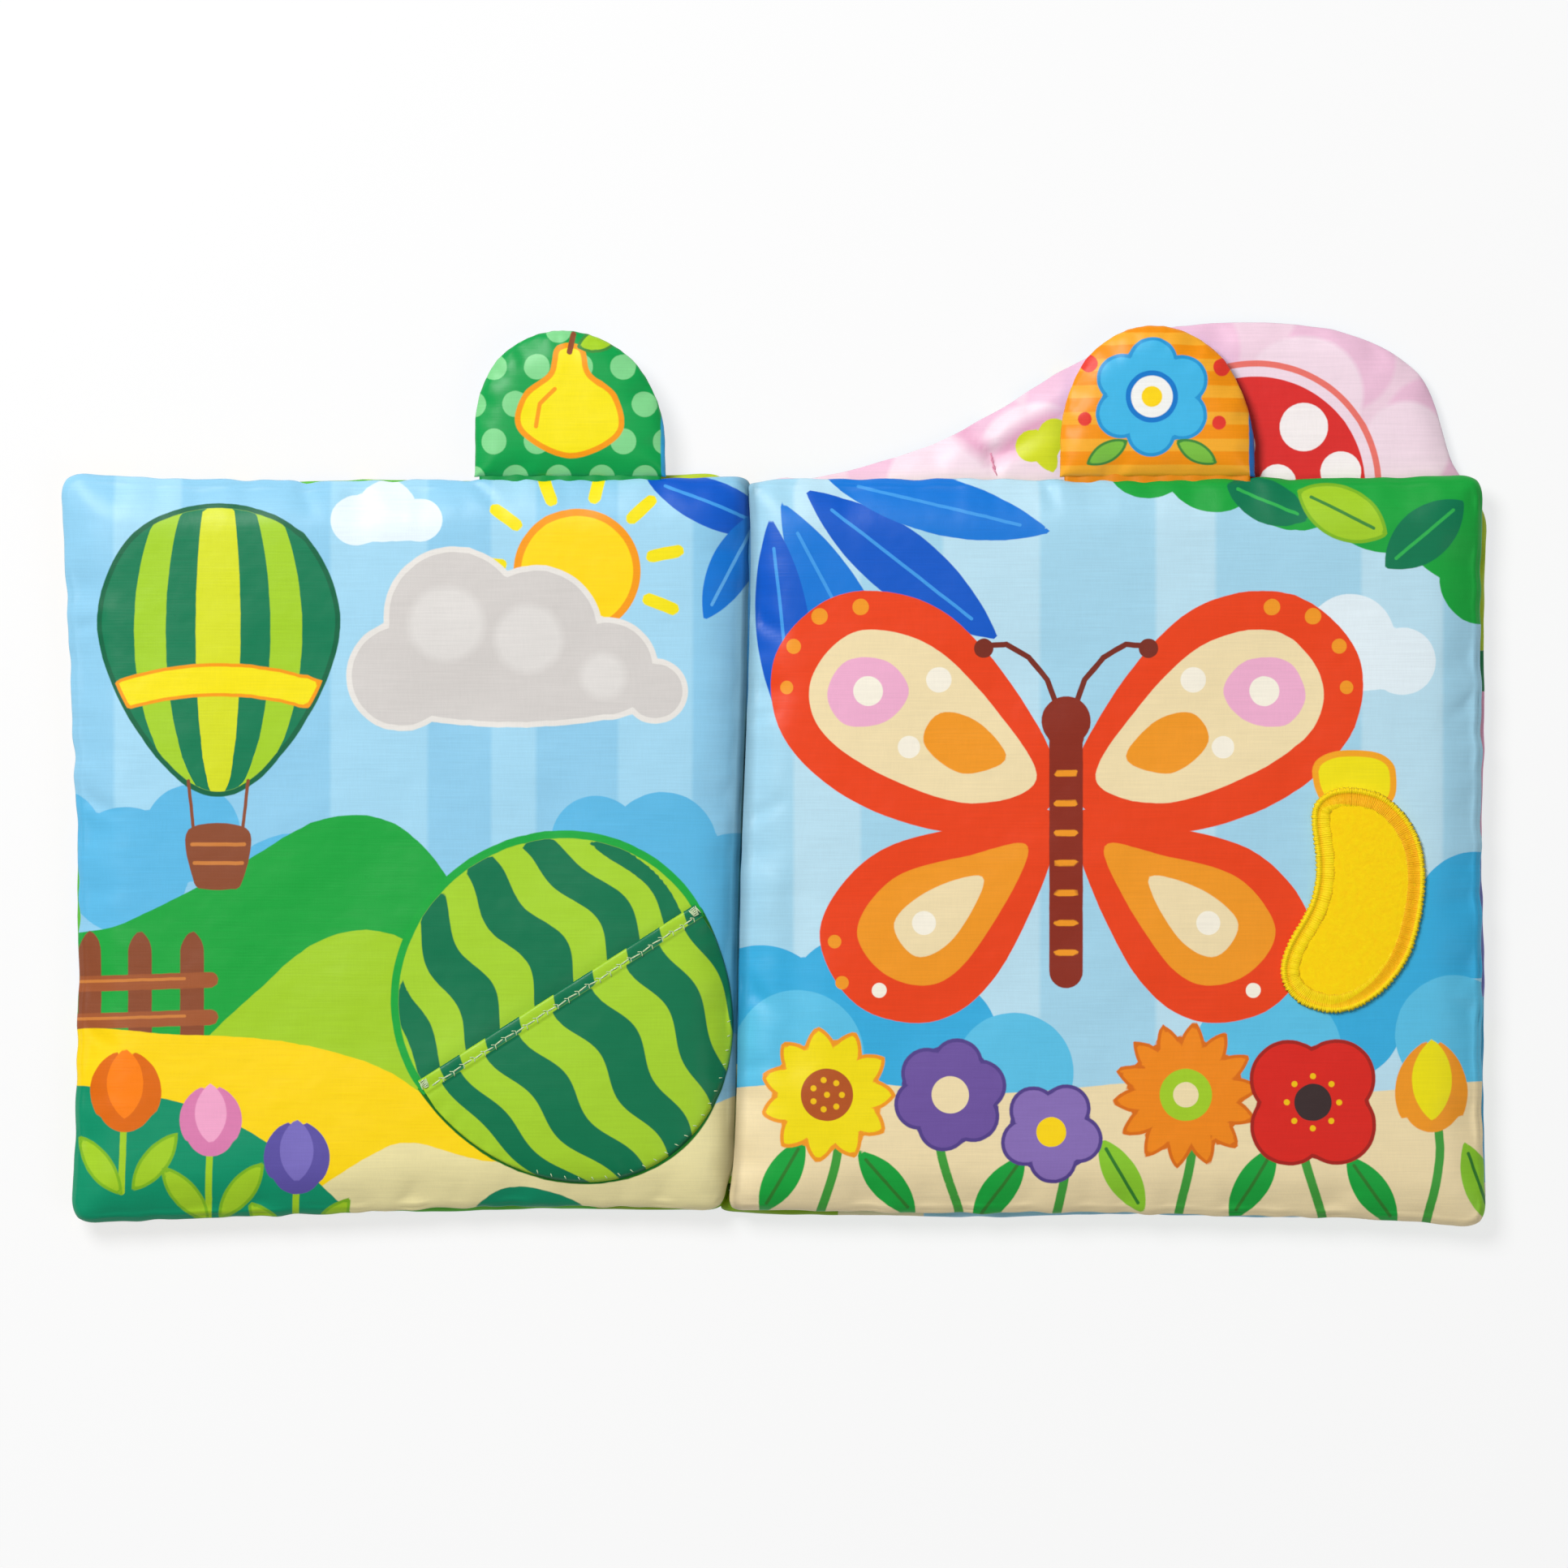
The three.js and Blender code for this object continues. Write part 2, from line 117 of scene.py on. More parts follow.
class Finish:
    def __init__(self, name):
        self.material = bpy.data.materials.new(name)
        self.material.use_nodes = True
        self.tree = self.material.node_tree
        self.tree.nodes.clear()
        self.output = self.tree.nodes.new("ShaderNodeOutputMaterial")

    def node(self, kind, settings=None, sockets=None, output=0):
        made = self.tree.nodes.new(kind)
        for key, value in (settings or {}).items():
            setattr(made, key, value)
        for key, value in (sockets or {}).items():
            if isinstance(value, Wire):
                self.tree.links.new(value.socket, made.inputs[key])
            else:
                made.inputs[key].default_value = value
        return Wire(self, made.outputs[output])

    def maths(self, operation, a, b, clamp=False):
        return self.node("ShaderNodeMath", {"operation": operation, "use_clamp": clamp}, {0: a, 1: b})

    def vector(self, operation, a, b=None):
        single = operation in ("DOT_PRODUCT", "LENGTH", "DISTANCE")
        sockets = {0: a} if b is None else {0: a, 3: b} if operation == "SCALE" else {0: a, 1: b}
        return self.node("ShaderNodeVectorMath", {"operation": operation}, sockets, output=1 if single else 0)

    def nearest(self, distances):
        found = distances[0]
        for far in distances[1:]:
            found = self.maths("MINIMUM", found, far)
        return found

    def place(self):
        return self.node("ShaderNodeTexCoord", output="Object")

    def point(self, x, y):
        return self.node("ShaderNodeCombineXYZ", None, {0: x, 1: y, 2: 0.0})

    def mirrored(self, at, x):
        # the place on the right half of something symmetrical about x
        parts = [self.node("ShaderNodeSeparateXYZ", None, {0: at}, output=i) for i in (0, 1)]
        return self.point(self.maths("ABSOLUTE", parts[0] - x, 0), parts[1])

    def mixed(self, share, a, b, blend="MIX"):
        settings = {"data_type": "RGBA", "blend_type": blend, "clamp_factor": True}
        return self.node("ShaderNodeMix", settings, {0: share, 6: a, 7: b}, output=2)

    def attribute(self, name, output=2):
        return self.node("ShaderNodeAttribute", {"attribute_name": name}, output=output)

    def noise(self, vector, scale, detail=2.0, roughness=0.5):
        sockets = {"Vector": vector, "Scale": scale, "Detail": detail, "Roughness": roughness}
        return self.node("ShaderNodeTexNoise", None, sockets)

    def strands(self, vector, scale, detail, roughness=0.5, turn=0.0):
        # noise drawn out into threads
        sockets = {"Vector": vector, "Scale": scale, "Rotation": (0, 0, turn)}
        drawn = self.node("ShaderNodeMapping", {"vector_type": "POINT"}, sockets)
        return self.noise(drawn, 1.0, detail, roughness)

    def bump(self, height, strength, distance, under=None):
        sockets = {"Strength": strength, "Distance": distance, "Height": height}
        if under:
            sockets["Normal"] = under
        return self.node("ShaderNodeBump", None, sockets)

    def surface(self, **sockets):
        named = {key.replace("_", " "): value for key, value in sockets.items()}
        shader = self.node("ShaderNodeBsdfPrincipled", None, named)
        self.tree.links.new(shader.socket, self.output.inputs["Surface"])
        return self.material


def ink(code):
    # a colour as a printer writes it, turned linear for the shader
    parts = [int(code[i : i + 2], 16) / 255 for i in (0, 2, 4)]
    return tuple(p / 12.92 if p < 0.04045 else ((p + 0.055) / 1.055) ** 2.4 for p in parts) + (1,)


print("studio")
addCamera()
for lampName in ("keyLamp", "fillLamp"):
    addLamp(lampName, *studio[lampName])
world = bpy.data.worlds.new("softWorld")
world.use_nodes = True
background = world.node_tree.nodes["Background"].inputs
background["Color"].default_value = (1, 1, 1, 1)
background["Strength"].default_value = studio["worldStrength"]
scene.world = world


def paleFloor():
    finish = Finish("paleFloor")
    path = "ShaderNodeLightPath"
    seen = (
        finish.node(path, output="Is Camera Ray")
        + finish.node(path, output="Is Glossy Ray")
        + finish.node(path, output="Is Transmission Ray")
    ).clamped()
    plain = finish.node("ShaderNodeBsdfDiffuse", None, {"Color": (0.9, 0.9, 0.9, 1)})
    white = finish.node("ShaderNodeEmission", None, {"Color": (1, 1, 1, 1), "Strength": 1.0})
    mixed = finish.node("ShaderNodeMixShader", None, {0: seen * studio["floorGlow"], 1: plain, 2: white})
    finish.tree.links.new(mixed.socket, finish.output.inputs["Surface"])
    return finish.material


bpy.ops.mesh.primitive_plane_add(size=8, location=(0, 0, 0))
floor = bpy.context.object
floor.name = "paleFloor"
floor.data.transform(floor.matrix_basis)
floor.matrix_basis.identity()
floor.data.materials.append(paleFloor())

# Outlines of the sewn pieces, millimetres, counterclockwise from the lower left corner

random = np.random.default_rng(7)
seam = {
    "waves": 2.5,  # long waves on one side
    "puckers": (9, 13, 17, 22),
    "nick": (0.9, 0.006),  # depth in millimetres, width as a share of the side
}


def unit(values):
    return np.clip(values, 0, 1)


def bell(away, width):
    return np.exp(-((away / width) ** 2))


def eased(share):
    return share * share * (3 - 2 * share)


def lengthOf(line):
    return np.hypot(*np.diff(line, axis=0).T).sum()


def leftOf(step):
    # the directions to the left of the steps of a line, which is inwards on an outline
    return np.stack([-step[:, 1], step[:, 0]], 1) / np.linalg.norm(step, axis=1)[:, None]


def along(points, count):
    # the line through the points, in evenly spaced points
    points = np.asarray(points, float)
    reach = np.concatenate([[0], np.cumsum(np.hypot(*np.diff(points, axis=0).T))])
    at = np.linspace(0, reach[-1], count)
    return np.stack([np.interp(at, reach, points[:, i]) for i in (0, 1)], 1)


def smoothLine(points, closed=False, steps=10):
    # a Catmull-Rom line through the points
    points = np.asarray(points, float)
    if closed:
        points = np.concatenate([points[-1:], points, points[:2]])
    else:
        ends = 2 * points[[0, -1]] - points[[1, -2]]
        points = np.concatenate([ends[:1], points, ends[1:]])
    t = np.linspace(0, 1, steps, endpoint=False)[:, None]
    spans = []
    for a, b, c, d in zip(points, points[1:], points[2:], points[3:]):
        spans.append(
            0.5 * (2 * b + (c - a) * t + (2 * a - 5 * b + 4 * c - d) * t**2 + (3 * b - a - 3 * c + d) * t**3)
        )
    if not closed:
        spans.append(points[-2:-1])
    return np.concatenate(spans)


def cornerArc(before, corner, after, radius):
    before, corner, after = (np.asarray(p, float) for p in (before, corner, after))
    start = corner + (before - corner) / np.linalg.norm(before - corner) * radius
    end = corner + (after - corner) / np.linalg.norm(after - corner) * radius
    t = np.linspace(0, 1, 17)[:, None]
    return (1 - t) ** 2 * start + 2 * t * (1 - t) * corner + t**2 * end


def gathered(line, depth, shift, fine=0.35, notches=()):
    # draws a sewn side inwards, in long waves, in short puckers and in single notches
    line = along(line, 241)
    share = np.linspace(0, 1, len(line))
    inwards = leftOf(np.gradient(line, axis=0))
    calm = np.sin(math.pi * share) ** 0.5
    wave = (1 - np.cos(2 * math.pi * (seam["waves"] * share + shift))) / 2 * np.sin(math.pi * share)
    pucker = sum(np.sin(2 * math.pi * (k * share + random.random())) for k in seam["puckers"]) / 4
    deep, wide = seam["nick"]
    nicks = sum(deep * bell(share - place, wide) for place in notches)
    return line + inwards * (depth * wave + fine * (1 + pucker) * calm + nicks)[:, None]


def fourSides(corners, radius, shift=0.0, depth=0.8, fine=0.35, spine=None, notches=None, bent=None):
    # bent gives a side the points it goes through between its corners, and spine does so
    # for the side that is sewn to the spine, given as its number and its points
    radii = np.broadcast_to(radius, 4)
    arcs = [cornerArc(corners[i - 1], corners[i], corners[(i + 1) % 4], radii[i]) for i in range(4)]
    sides = []
    for i in range(4):
        here, there = arcs[i], arcs[(i + 1) % 4]
        between = (bent or {}).get(i)
        line = smoothLine([here[-1], *between, there[0]]) if between else [here[-1], there[0]]
        middle = gathered(line, depth, shift, fine, (notches or {}).get(i, ()))
        if spine and spine[0] == i:
            middle = gathered(smoothLine([here[-1], *spine[1], there[0]]), 0, 0, 0.12)
        sides.append(np.concatenate([here[8:-1], middle, there[1:9]]))
    return sides  # bottom, right, top backwards, left downwards


def grading(length, step, edge):
    # places across a piece, close together near both seams
    inner = np.linspace(edge[-1], length - edge[-1], max(3, round((length - 2 * edge[-1]) / step) + 1))
    rim = np.array(edge[:-1])
    return np.concatenate([[0], rim, inner, length - rim[::-1], [length]]) / length


def patchGrid(sides, step, edge):
    # a grid stretched between four sides
    bottom, right, top, left = (along(s, 400) for s in sides)
    top, left = top[::-1], left[::-1]
    width = max(lengthOf(s) for s in (bottom, top))
    height = max(lengthOf(s) for s in (left, right))
    u, v = grading(width, step, edge), grading(height, step, edge)

    def at(side, share):
        full = np.linspace(0, 1, len(side))
        return np.stack([np.interp(share, full, side[:, i]) for i in (0, 1)], 1)

    us, vs = u[:, None, None], v[None, :, None]
    grid = (1 - vs) * at(bottom, u)[:, None] + vs * at(top, u)[:, None]
    grid = grid + (1 - us) * at(left, v)[None] + us * at(right, v)[None]
    corners = (1 - us) * ((1 - vs) * bottom[0] + vs * top[0])
    corners = corners + us * ((1 - vs) * bottom[-1] + vs * top[-1])
    return grid - corners


def distanceTo(everyPoint, line, closed=True):
    # distance of each point to a line, negative inside a closed one; past the reach a point is just far
    reach = 9
    line = np.asarray(line, float)
    near = np.all((everyPoint > line.min(0) - reach) & (everyPoint < line.max(0) + reach), axis=1)
    points = everyPoint[near]
    a = line if closed else line[:-1]
    b = np.roll(line, -1, axis=0) if closed else line[1:]
    span = b - a
    length = np.maximum((span**2).sum(1), 1e-12)
    nearest = np.full(len(points), np.inf)
    inside = np.zeros(len(points), bool)
    for i in range(len(a)):
        rel = points - a[i]
        share = unit(rel @ span[i] / length[i])
        nearest = np.minimum(nearest, ((rel - share[:, None] * span[i]) ** 2).sum(1))
        if closed:
            crosses = (a[i, 1] > points[:, 1]) != (b[i, 1] > points[:, 1])
            if crosses.any():
                with np.errstate(divide="ignore", invalid="ignore"):
                    x = a[i, 0] + (points[:, 1] - a[i, 1]) * span[i, 0] / span[i, 1]
                inside ^= crosses & (points[:, 0] < x)
    found = np.full(len(everyPoint), 99.0)
    found[near] = np.where(inside, -1, 1) * np.sqrt(nearest)
    return found


# Padded pieces


def puffed(share, exponent):
    return (1 - (1 - unit(share)) ** exponent) ** (1 / exponent)


def select(obj):
    bpy.ops.object.select_all(action="DESELECT")
    obj.select_set(True)
    bpy.context.view_layer.objects.active = obj


def newPiece(name, vertices, faces):
    mesh = bpy.data.meshes.new(name)
    mesh.from_pydata(vertices.tolist(), [], faces.tolist() if hasattr(faces, "tolist") else faces)
    mesh.update()
    piece = bpy.data.objects.new(name, mesh)
    scene.collection.objects.link(piece)
    return piece


def places(piece):
    flat = np.zeros(len(piece.data.vertices) * 3, np.float32)
    piece.data.vertices.foreach_get("co", flat)
    return flat.reshape(-1, 3).astype(float)


def setPlaces(piece, points):
    piece.data.vertices.foreach_set("co", points.astype(np.float32).ravel())
    piece.data.update()


def apply(piece, name):
    select(piece)
    bpy.ops.object.modifier_apply(modifier=name)


def store(piece, name, values):
    layer = piece.data.attributes.new(name, "FLOAT", "POINT")
    layer.data.foreach_set("value", values.astype(np.float32))


def fetch(piece, name):
    values = np.zeros(len(piece.data.vertices), np.float32)
    piece.data.attributes[name].data.foreach_get("value", values)
    return values.astype(float)


def shadeSmooth(piece):
    piece.data.polygons.foreach_set("use_smooth", np.ones(len(piece.data.polygons), bool))


def quads(table):
    # the faces of a grid of vertex numbers
    return np.stack([table[:-1, :-1], table[1:, :-1], table[1:, 1:], table[:-1, 1:]], -1).reshape(-1, 4)


def weigh(piece, name, weights):
    group = piece.vertex_groups.new(name=name)
    weights = np.round(weights, 2)
    for weight in np.unique(weights):
        group.add([int(i) for i in np.flatnonzero(weights == weight)], float(weight), "REPLACE")


air = {
    "scale": 10,  # the cloth is simulated at ten times its size
    "frames": 16,
    "pressure": 4,
    "slack": 0.05,  # how much larger the cloth is than the seam that gathers it
}


def inflate(piece, pinned, swell):
    # fills the pad like air; the seams and the quilted middle hold it
    weigh(piece, "held", pinned)
    weigh(piece, "loose", swell)
    setPlaces(piece, places(piece) * air["scale"])
    cloth = piece.modifiers.new("Cloth", "CLOTH")
    settings = cloth.settings
    settings.quality = 5
    settings.mass = 0.01
    settings.tension_stiffness = settings.compression_stiffness = 15
    settings.shear_stiffness = 5
    settings.bending_stiffness = 0.05
    settings.use_pressure = True
    settings.uniform_pressure_force = air["pressure"]
    settings.vertex_group_mass = "held"
    settings.pin_stiffness = 1.0
    settings.vertex_group_shrink = "loose"
    settings.shrink_min = 0.0
    settings.shrink_max = -air["slack"]
    settings.effector_weights.gravity = 0
    cloth.point_cache.frame_start, cloth.point_cache.frame_end = 1, air["frames"]
    for number in range(1, air["frames"] + 1):
        scene.frame_set(number)
    apply(piece, "Cloth")
    setPlaces(piece, places(piece) / air["scale"])
    scene.frame_set(1)


filling = {  # the solids' filling: half its thickness, how it ends at the seam, and the film on it
    "half": 0.58,
    "exponent": 0.42,
    "film": (9, 3, 0.7),  # where it starts, how soon it is flat, its thickness
}


def creaseTop(pad, size):
    # presses creases into the upper cloth, which never sinks into the filling and the film under it
    points, depth = places(pad), fetch(pad, "inset")
    x, y = fetch(pad, "flatX"), fetch(pad, "flatY")
    upper = unit(fetch(pad, "upper") * 2 - 1)
    for x0, y0, x1, y1, deep, wide in size.get("creases", ()):
        dx, dy = x1 - x0, y1 - y0
        run = unit(((x - x0) * dx + (y - y0) * dy) / (dx**2 + dy**2))
        aside = np.hypot(x - x0 - run * dx, y - y0 - run * dy)
        dent = deep * (1 - run) ** 0.7 * bell(aside, wide) * unit(depth / 1.5)
        points[:, 2] -= dent * upper * mm
    if "filled" in size:
        share = unit((depth + 0.4) / leaves["roll"]) ** filling["exponent"]
        start, reach, film = filling["film"]
        least = filling["half"] * (1 + share) * share + film * unit((depth - start) / reach)
        least = least + size["filled"]
        low = (upper > 0.9) & (depth > 1.2)
        points[low, 2] = np.maximum(points[low, 2], (size["middle"] + least[low]) * mm)
    setPlaces(pad, points)


def lumps(flat):
    # slow hills and hollows of the filling
    waves = [(random.uniform(0.05, 0.16, 2), random.uniform(0, 6.3, 2)) for _ in range(5)]
    return sum(np.sin(flat[:, 0] * k[0] + s[0]) * np.sin(flat[:, 1] * k[1] + s[1]) for k, s in waves)


def tucksRound(outline):
    # folds that the seam's puckers send inwards, deeper in some stretches than in others
    run = np.arange(len(outline)) * np.hypot(*(outline[1] - outline[0]))
    lengths = ((0.6, 9.1), (1, 13.7), (1, 21.3))
    tucks = sum(k * np.sin(2 * math.pi * run / length + random.uniform(0, 6.3)) for k, length in lengths)
    return tucks * (0.55 + 0.45 * np.sin(2 * math.pi * run / 61 + random.uniform(0, 6.3)))


padding = {  # what a pad has unless its own size says otherwise
    "edge": (0.6, 1.7, 3.3, 5.5, 8.2),  # how far in from the seam the mesh has its fine rows
    "lip": 1.2,  # how far in the seam has its full thickness
    "exponent": 2.0,
    "lumps": (0.45, 14),  # their height, and how far in they have it
    "tucks": (1.5, 6.5),  # how far in they are deepest, and how fast they end
    "quilt": (60, 0.4),  # how far in the cloths are held together, and how firmly
    "cap": 1.6,  # how far the air moves the cloth at most
    "fill": 0.45,
    "inflated": True,
}


def makePad(name, sides, size):
    # two cloths sewn round the edge, turned and filled
    size = {**padding, **size}
    grid = patchGrid(sides, size["step"], size["edge"])
    columns, rows = grid.shape[:2]
    flat = grid.reshape(-1, 2)
    outline = along(np.concatenate([s[:-1] for s in sides] + [sides[0][:1]]), 700)[:-1]
    depth = np.maximum(0, -distanceTo(flat, outline))
    rim = np.zeros((columns, rows), bool)
    rim[[0, -1]] = rim[:, [0, -1]] = True
    rim = rim.ravel()
    depth[rim] = 0
    index = np.arange(columns * rows).reshape(columns, rows)
    lower = index + columns * rows
    lower.ravel()[rim] = index.ravel()[rim]
    used = np.unique(np.concatenate([index.ravel(), lower.ravel()]))
    number = np.full(2 * columns * rows, -1)
    number[used] = np.arange(len(used))

    def both(values):
        return np.concatenate([values, values])[used]

    atSeam, half = size["seam"], size["thickness"] / 2
    roll = size["roll"](flat) if callable(size["roll"]) else size["roll"]
    rise = atSeam * puffed(depth / size["lip"], 2) + (half - atSeam) * puffed(depth / roll, size["exponent"])
    high, reach = size["lumps"]
    rise = rise + size["uneven"] * high * lumps(flat) * unit(depth / reach)
    tucks = tucksRound(outline)
    nearest = ((flat[:, None] - outline[None]) ** 2).sum(2).argmin(1)
    start, end = size["tucks"]
    tuck = np.clip(tucks, -0.4, 2)[nearest] * np.exp(-depth / end) * unit(depth / start)
    rise = rise - size["pucker"] * tuck
    middle = size["middle"] + (size["sag"](flat) if "sag" in size else 0)
    height = np.concatenate([middle + rise, middle - rise])[used]
    inset, flatX, flatY = both(depth), both(flat[:, 0]), both(flat[:, 1])
    points = np.column_stack([flatX, flatY, height]) * mm
    faces = np.concatenate([number[quads(index)], number[quads(lower)][:, ::-1]])
    pad = newPiece(name, points, faces)
    pad.data.polygons.foreach_set("material_index", np.repeat([0, 1], len(faces) // 2))
    store(pad, "inset", inset)
    store(pad, "upper", np.where(inset > 0, used < columns * rows, 0.5))
    # shade painted into the upper cloth's colour beside the gutter, where the size gives it
    if "paintedShade" in size:
        store(pad, "paintedShade", np.concatenate([size["paintedShade"](flat), np.zeros(len(flat))])[used])
    store(pad, "flatX", flatX)
    store(pad, "flatY", flatY)
    if size["inflated"]:
        reach, firm = size["quilt"]
        pinned = np.where(inset < 0.1, 1.0, eased(unit(inset / reach)) * firm)
        inflate(pad, pinned, bell(inset, 20))
        moved = places(pad) - points
        far = np.maximum(np.linalg.norm(moved, axis=1), 1e-9)
        cap = size["cap"] * mm
        points = points + moved * (np.tanh(far / cap) * cap / far)[:, None]
    for side, level in zip((-1, 1), size["levels"]):
        room = abs(level - size["middle"]) * mm
        rise = side * (points[:, 2] - size["middle"] * mm)
        over = np.maximum(rise - 0.75 * room, 0)
        points[:, 2] -= side * (over - 0.25 * room * np.tanh(over / (0.25 * room)))
    setPlaces(pad, points)
    smooth = pad.modifiers.new("Smooth", "SUBSURF")
    smooth.levels = smooth.render_levels = 1
    apply(pad, "Smooth")
    creaseTop(pad, size)
    shadeSmooth(pad)
    return pad


def standsFor(piece, body=None, nodes=()):
    # the body that carries the piece, and the CAD nodes it stands for, which are hidden
    if body:
        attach(piece, body)
    if nodes:
        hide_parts(*nodes)


# Prints: the cloth's own picture, in layers of ink


class Print:
    def __init__(self, piece, tag):
        self.piece, self.tag, self.layers = piece, tag, []
        self.x, self.y = fetch(piece, "flatX"), fetch(piece, "flatY")
        self.at = np.column_stack([self.x, self.y])

    def put(self, shape, colour, edge=None, width=1.2, soft=0.3):
        # one shape in one colour, with a line round it if edge is given
        bands = [(width / 2, edge), (-width / 2, colour)] if edge else [(0, colour)]
        self.rings(shape, bands, soft)

    def rings(self, shape, bands, soft=0.3):
        # one shape in several colours, each grown by its own amount
        name = f"{self.tag}{len(self.layers)}"
        store(self.piece, name, shape)
        self.layers += [(name, grow, soft, ink(colour)) for grow, colour in bands]

    def fine(self, shape, colour):
        # a thin shape that the shader draws itself, sharper than the mesh
        soft = 0.25
        self.layers.append((shape, 0, soft, ink(colour)))

    def turned(self, x, y, turn=0.0):
        rel = self.at - (x, y)
        c, s = math.cos(math.radians(turn)), math.sin(math.radians(turn))
        return rel[:, 0] * c + rel[:, 1] * s, rel[:, 1] * c - rel[:, 0] * s

    def disc(self, x, y, wide, high=None, turn=0.0):
        a, b = self.turned(x, y, turn)
        high = high or wide
        reach = np.hypot(a / wide, b / high)
        return reach * (reach - 1) / np.maximum(np.hypot(a / wide**2, b / high**2), 1e-9)

    def leaf(self, x, y, length, width, turn=0.0):
        a, b = self.turned(x, y, turn)
        radius = (length**2 + width**2) / (4 * width)
        return np.hypot(a, np.abs(b) + radius - width / 2) - radius

    def bar(self, x, y, length, width, turn=0.0):
        a, b = self.turned(x, y, turn)
        return np.hypot(np.maximum(np.abs(a) - length / 2, 0), b) - width / 2

    def blob(self, *points):
        return distanceTo(self.at, smoothLine(points, True, 8))

    def stroke(self, width, *points):
        return distanceTo(self.at, smoothLine(points), closed=False) - width / 2

    def above(self, y, wave=0.0, length=30.0):
        # negative over the height y
        return y + wave * np.sin(2 * math.pi * self.x / length) - self.y

    def dots(self, pitch, radius, turn=0.0, centre=(0.0, 0.0)):
        # staggered rows of dots
        a, b = self.turned(*centre, turn)
        a, b = a / pitch, b / (pitch * 0.866)
        row = np.round(b)
        a = a + 0.5 * (row % 2)
        return np.hypot((a - np.round(a)) * pitch, (b - row) * pitch * 0.866) - radius

    def stripes(self, pitch, width):
        row = self.y / pitch
        return np.abs((row - np.round(row)) * pitch) - width / 2

    def discs(self, *circles):
        return union(*(self.disc(*circle) for circle in circles))


def thinLine(width, *points):
    # for Print.fine: a line through the points
    def draw(finish, at):
        found = []
        for a, b in zip(points, points[1:]):
            span = (b[0] - a[0], b[1] - a[1], 0)
            rel = finish.vector("SUBTRACT", at, (*a, 0))
            share = (finish.vector("DOT_PRODUCT", rel, span) / (span[0] ** 2 + span[1] ** 2)).clamped()
            off = finish.vector("SUBTRACT", rel, finish.vector("SCALE", span, share))
            found.append(finish.vector("LENGTH", off))
        return finish.nearest(found) - width / 2

    return draw


def smallDiscs(*circles):
    # the same for discs, each given as x, y, radius
    def draw(finish, at):
        return finish.nearest([finish.vector("DISTANCE", at, (x, y, 0)) - radius for x, y, radius in circles])

    return draw


def between(values, low, high):
    return np.abs(values - (low + high) / 2) - (high - low) / 2


def union(*shapes):
    return np.minimum.reduce(shapes)


def common(*shapes):
    return np.maximum.reduce(shapes)


clothLook = {
    "roughness": 0.36,
    "ribs": (70, 2300, 70),  # threads to the metre along each axis
    "threads": (2600, 260, 2600),
    "crumple": (0.5, 0.0009),  # strength and height in metres
    "weave": (0.55, 0.00006),
}


def printedCloth(name, base, layers=()):
    finish = Finish(name)
    place = finish.place()
    at = finish.point(finish.attribute("flatX"), finish.attribute("flatY"))
    colour = ink(base)
    for shape, grow, soft, tint in layers:
        far = shape(finish, at) if callable(shape) else finish.attribute(shape)
        line = {0: far, 1: -1 / soft, 2: 0.5 + grow / soft}
        inked = finish.node("ShaderNodeMath", {"operation": "MULTIPLY_ADD", "use_clamp": True}, line)
        colour = finish.mixed(inked, colour, tint)
    ribs = finish.strands(place, clothLook["ribs"], 1.0)
    threads = finish.strands(place, clothLook["threads"], 1.0)
    mottle = finish.noise(place, 55, 3)
    # the tone of the ribs and threads, darkened by the shade painted in from the pad's or band's attribute
    shade = (0.9 + ribs * 0.13 + threads * 0.06 + mottle * 0.03) * (1 - finish.attribute("paintedShade"))
    colour = finish.mixed(1.0, colour, shade, "MULTIPLY")
    weave = finish.bump(ribs * 0.6 + threads * 0.4, *clothLook["weave"])
    return finish.surface(
        Base_Color=colour,
        Roughness=clothLook["roughness"] + mottle * 0.1,
        Sheen_Weight=0.02,
        Sheen_Roughness=0.4,
        Specular_IOR_Level=0.32,
        Normal=finish.bump(finish.noise(place, 85, 2, 0.45), *clothLook["crumple"], under=weave),
    )


leaves = {
    "thickness": 6.4,
    "seam": 0.9,
    "roll": 13,
    "exponent": 1.55,
    "pucker": 0.75,
    "uneven": 0.4,
    "filled": 0.3,
    "step": 2.6,
    "pageThickness": 7.2,
    "droop": 1.4,
    "droopReach": 15,
    "coverMiddle": 3.25,
    "pageMiddle": 10.05,
    "cornerRadius": 7,
    "coverLevels": (0.02, 6.4),
    "pageLevels": (6.9, 14.7),
}
coverSize = {**leaves, "middle": leaves["coverMiddle"], "levels": leaves["coverLevels"]}
pageSize = {
    **leaves,
    "middle": leaves["pageMiddle"],
    "levels": leaves["pageLevels"],
    "thickness": leaves["pageThickness"],
}

print("covers")
frontCorners = [(-180, -99.6), (-4, -97.6), (-4, 101), (-180.6, 98.6)]
frontSides = fourSides(frontCorners, leaves["cornerRadius"], 0.6)
frontCover = makePad("frontCover", frontSides, {**coverSize, "step": 3.6})
frontCloths = ["front_cover_face_cloth", "front_cover_back_cloth"]
standsFor(frontCover, "front_cover", frontCloths)

arch = {
    "outer": 199.4,
    "height": 41,
    "shares": [
        (0.955, 0.073), (0.908, 0.671), (0.787, 0.976), (0.592, 1.0), (0.451, 0.768),
        (0.351, 0.476), (0.246, 0.207), (0.1, 0.0), (0.05, 0.0), (0.03, -0.05),
    ],
    "tuck": (66.7, 103.5),
    "foot": [(4, 40), (4, -40), (3.6, -76)],  # the side at the spine, which runs out to the left at the foot
    "footCorner": (-9, -98),
}


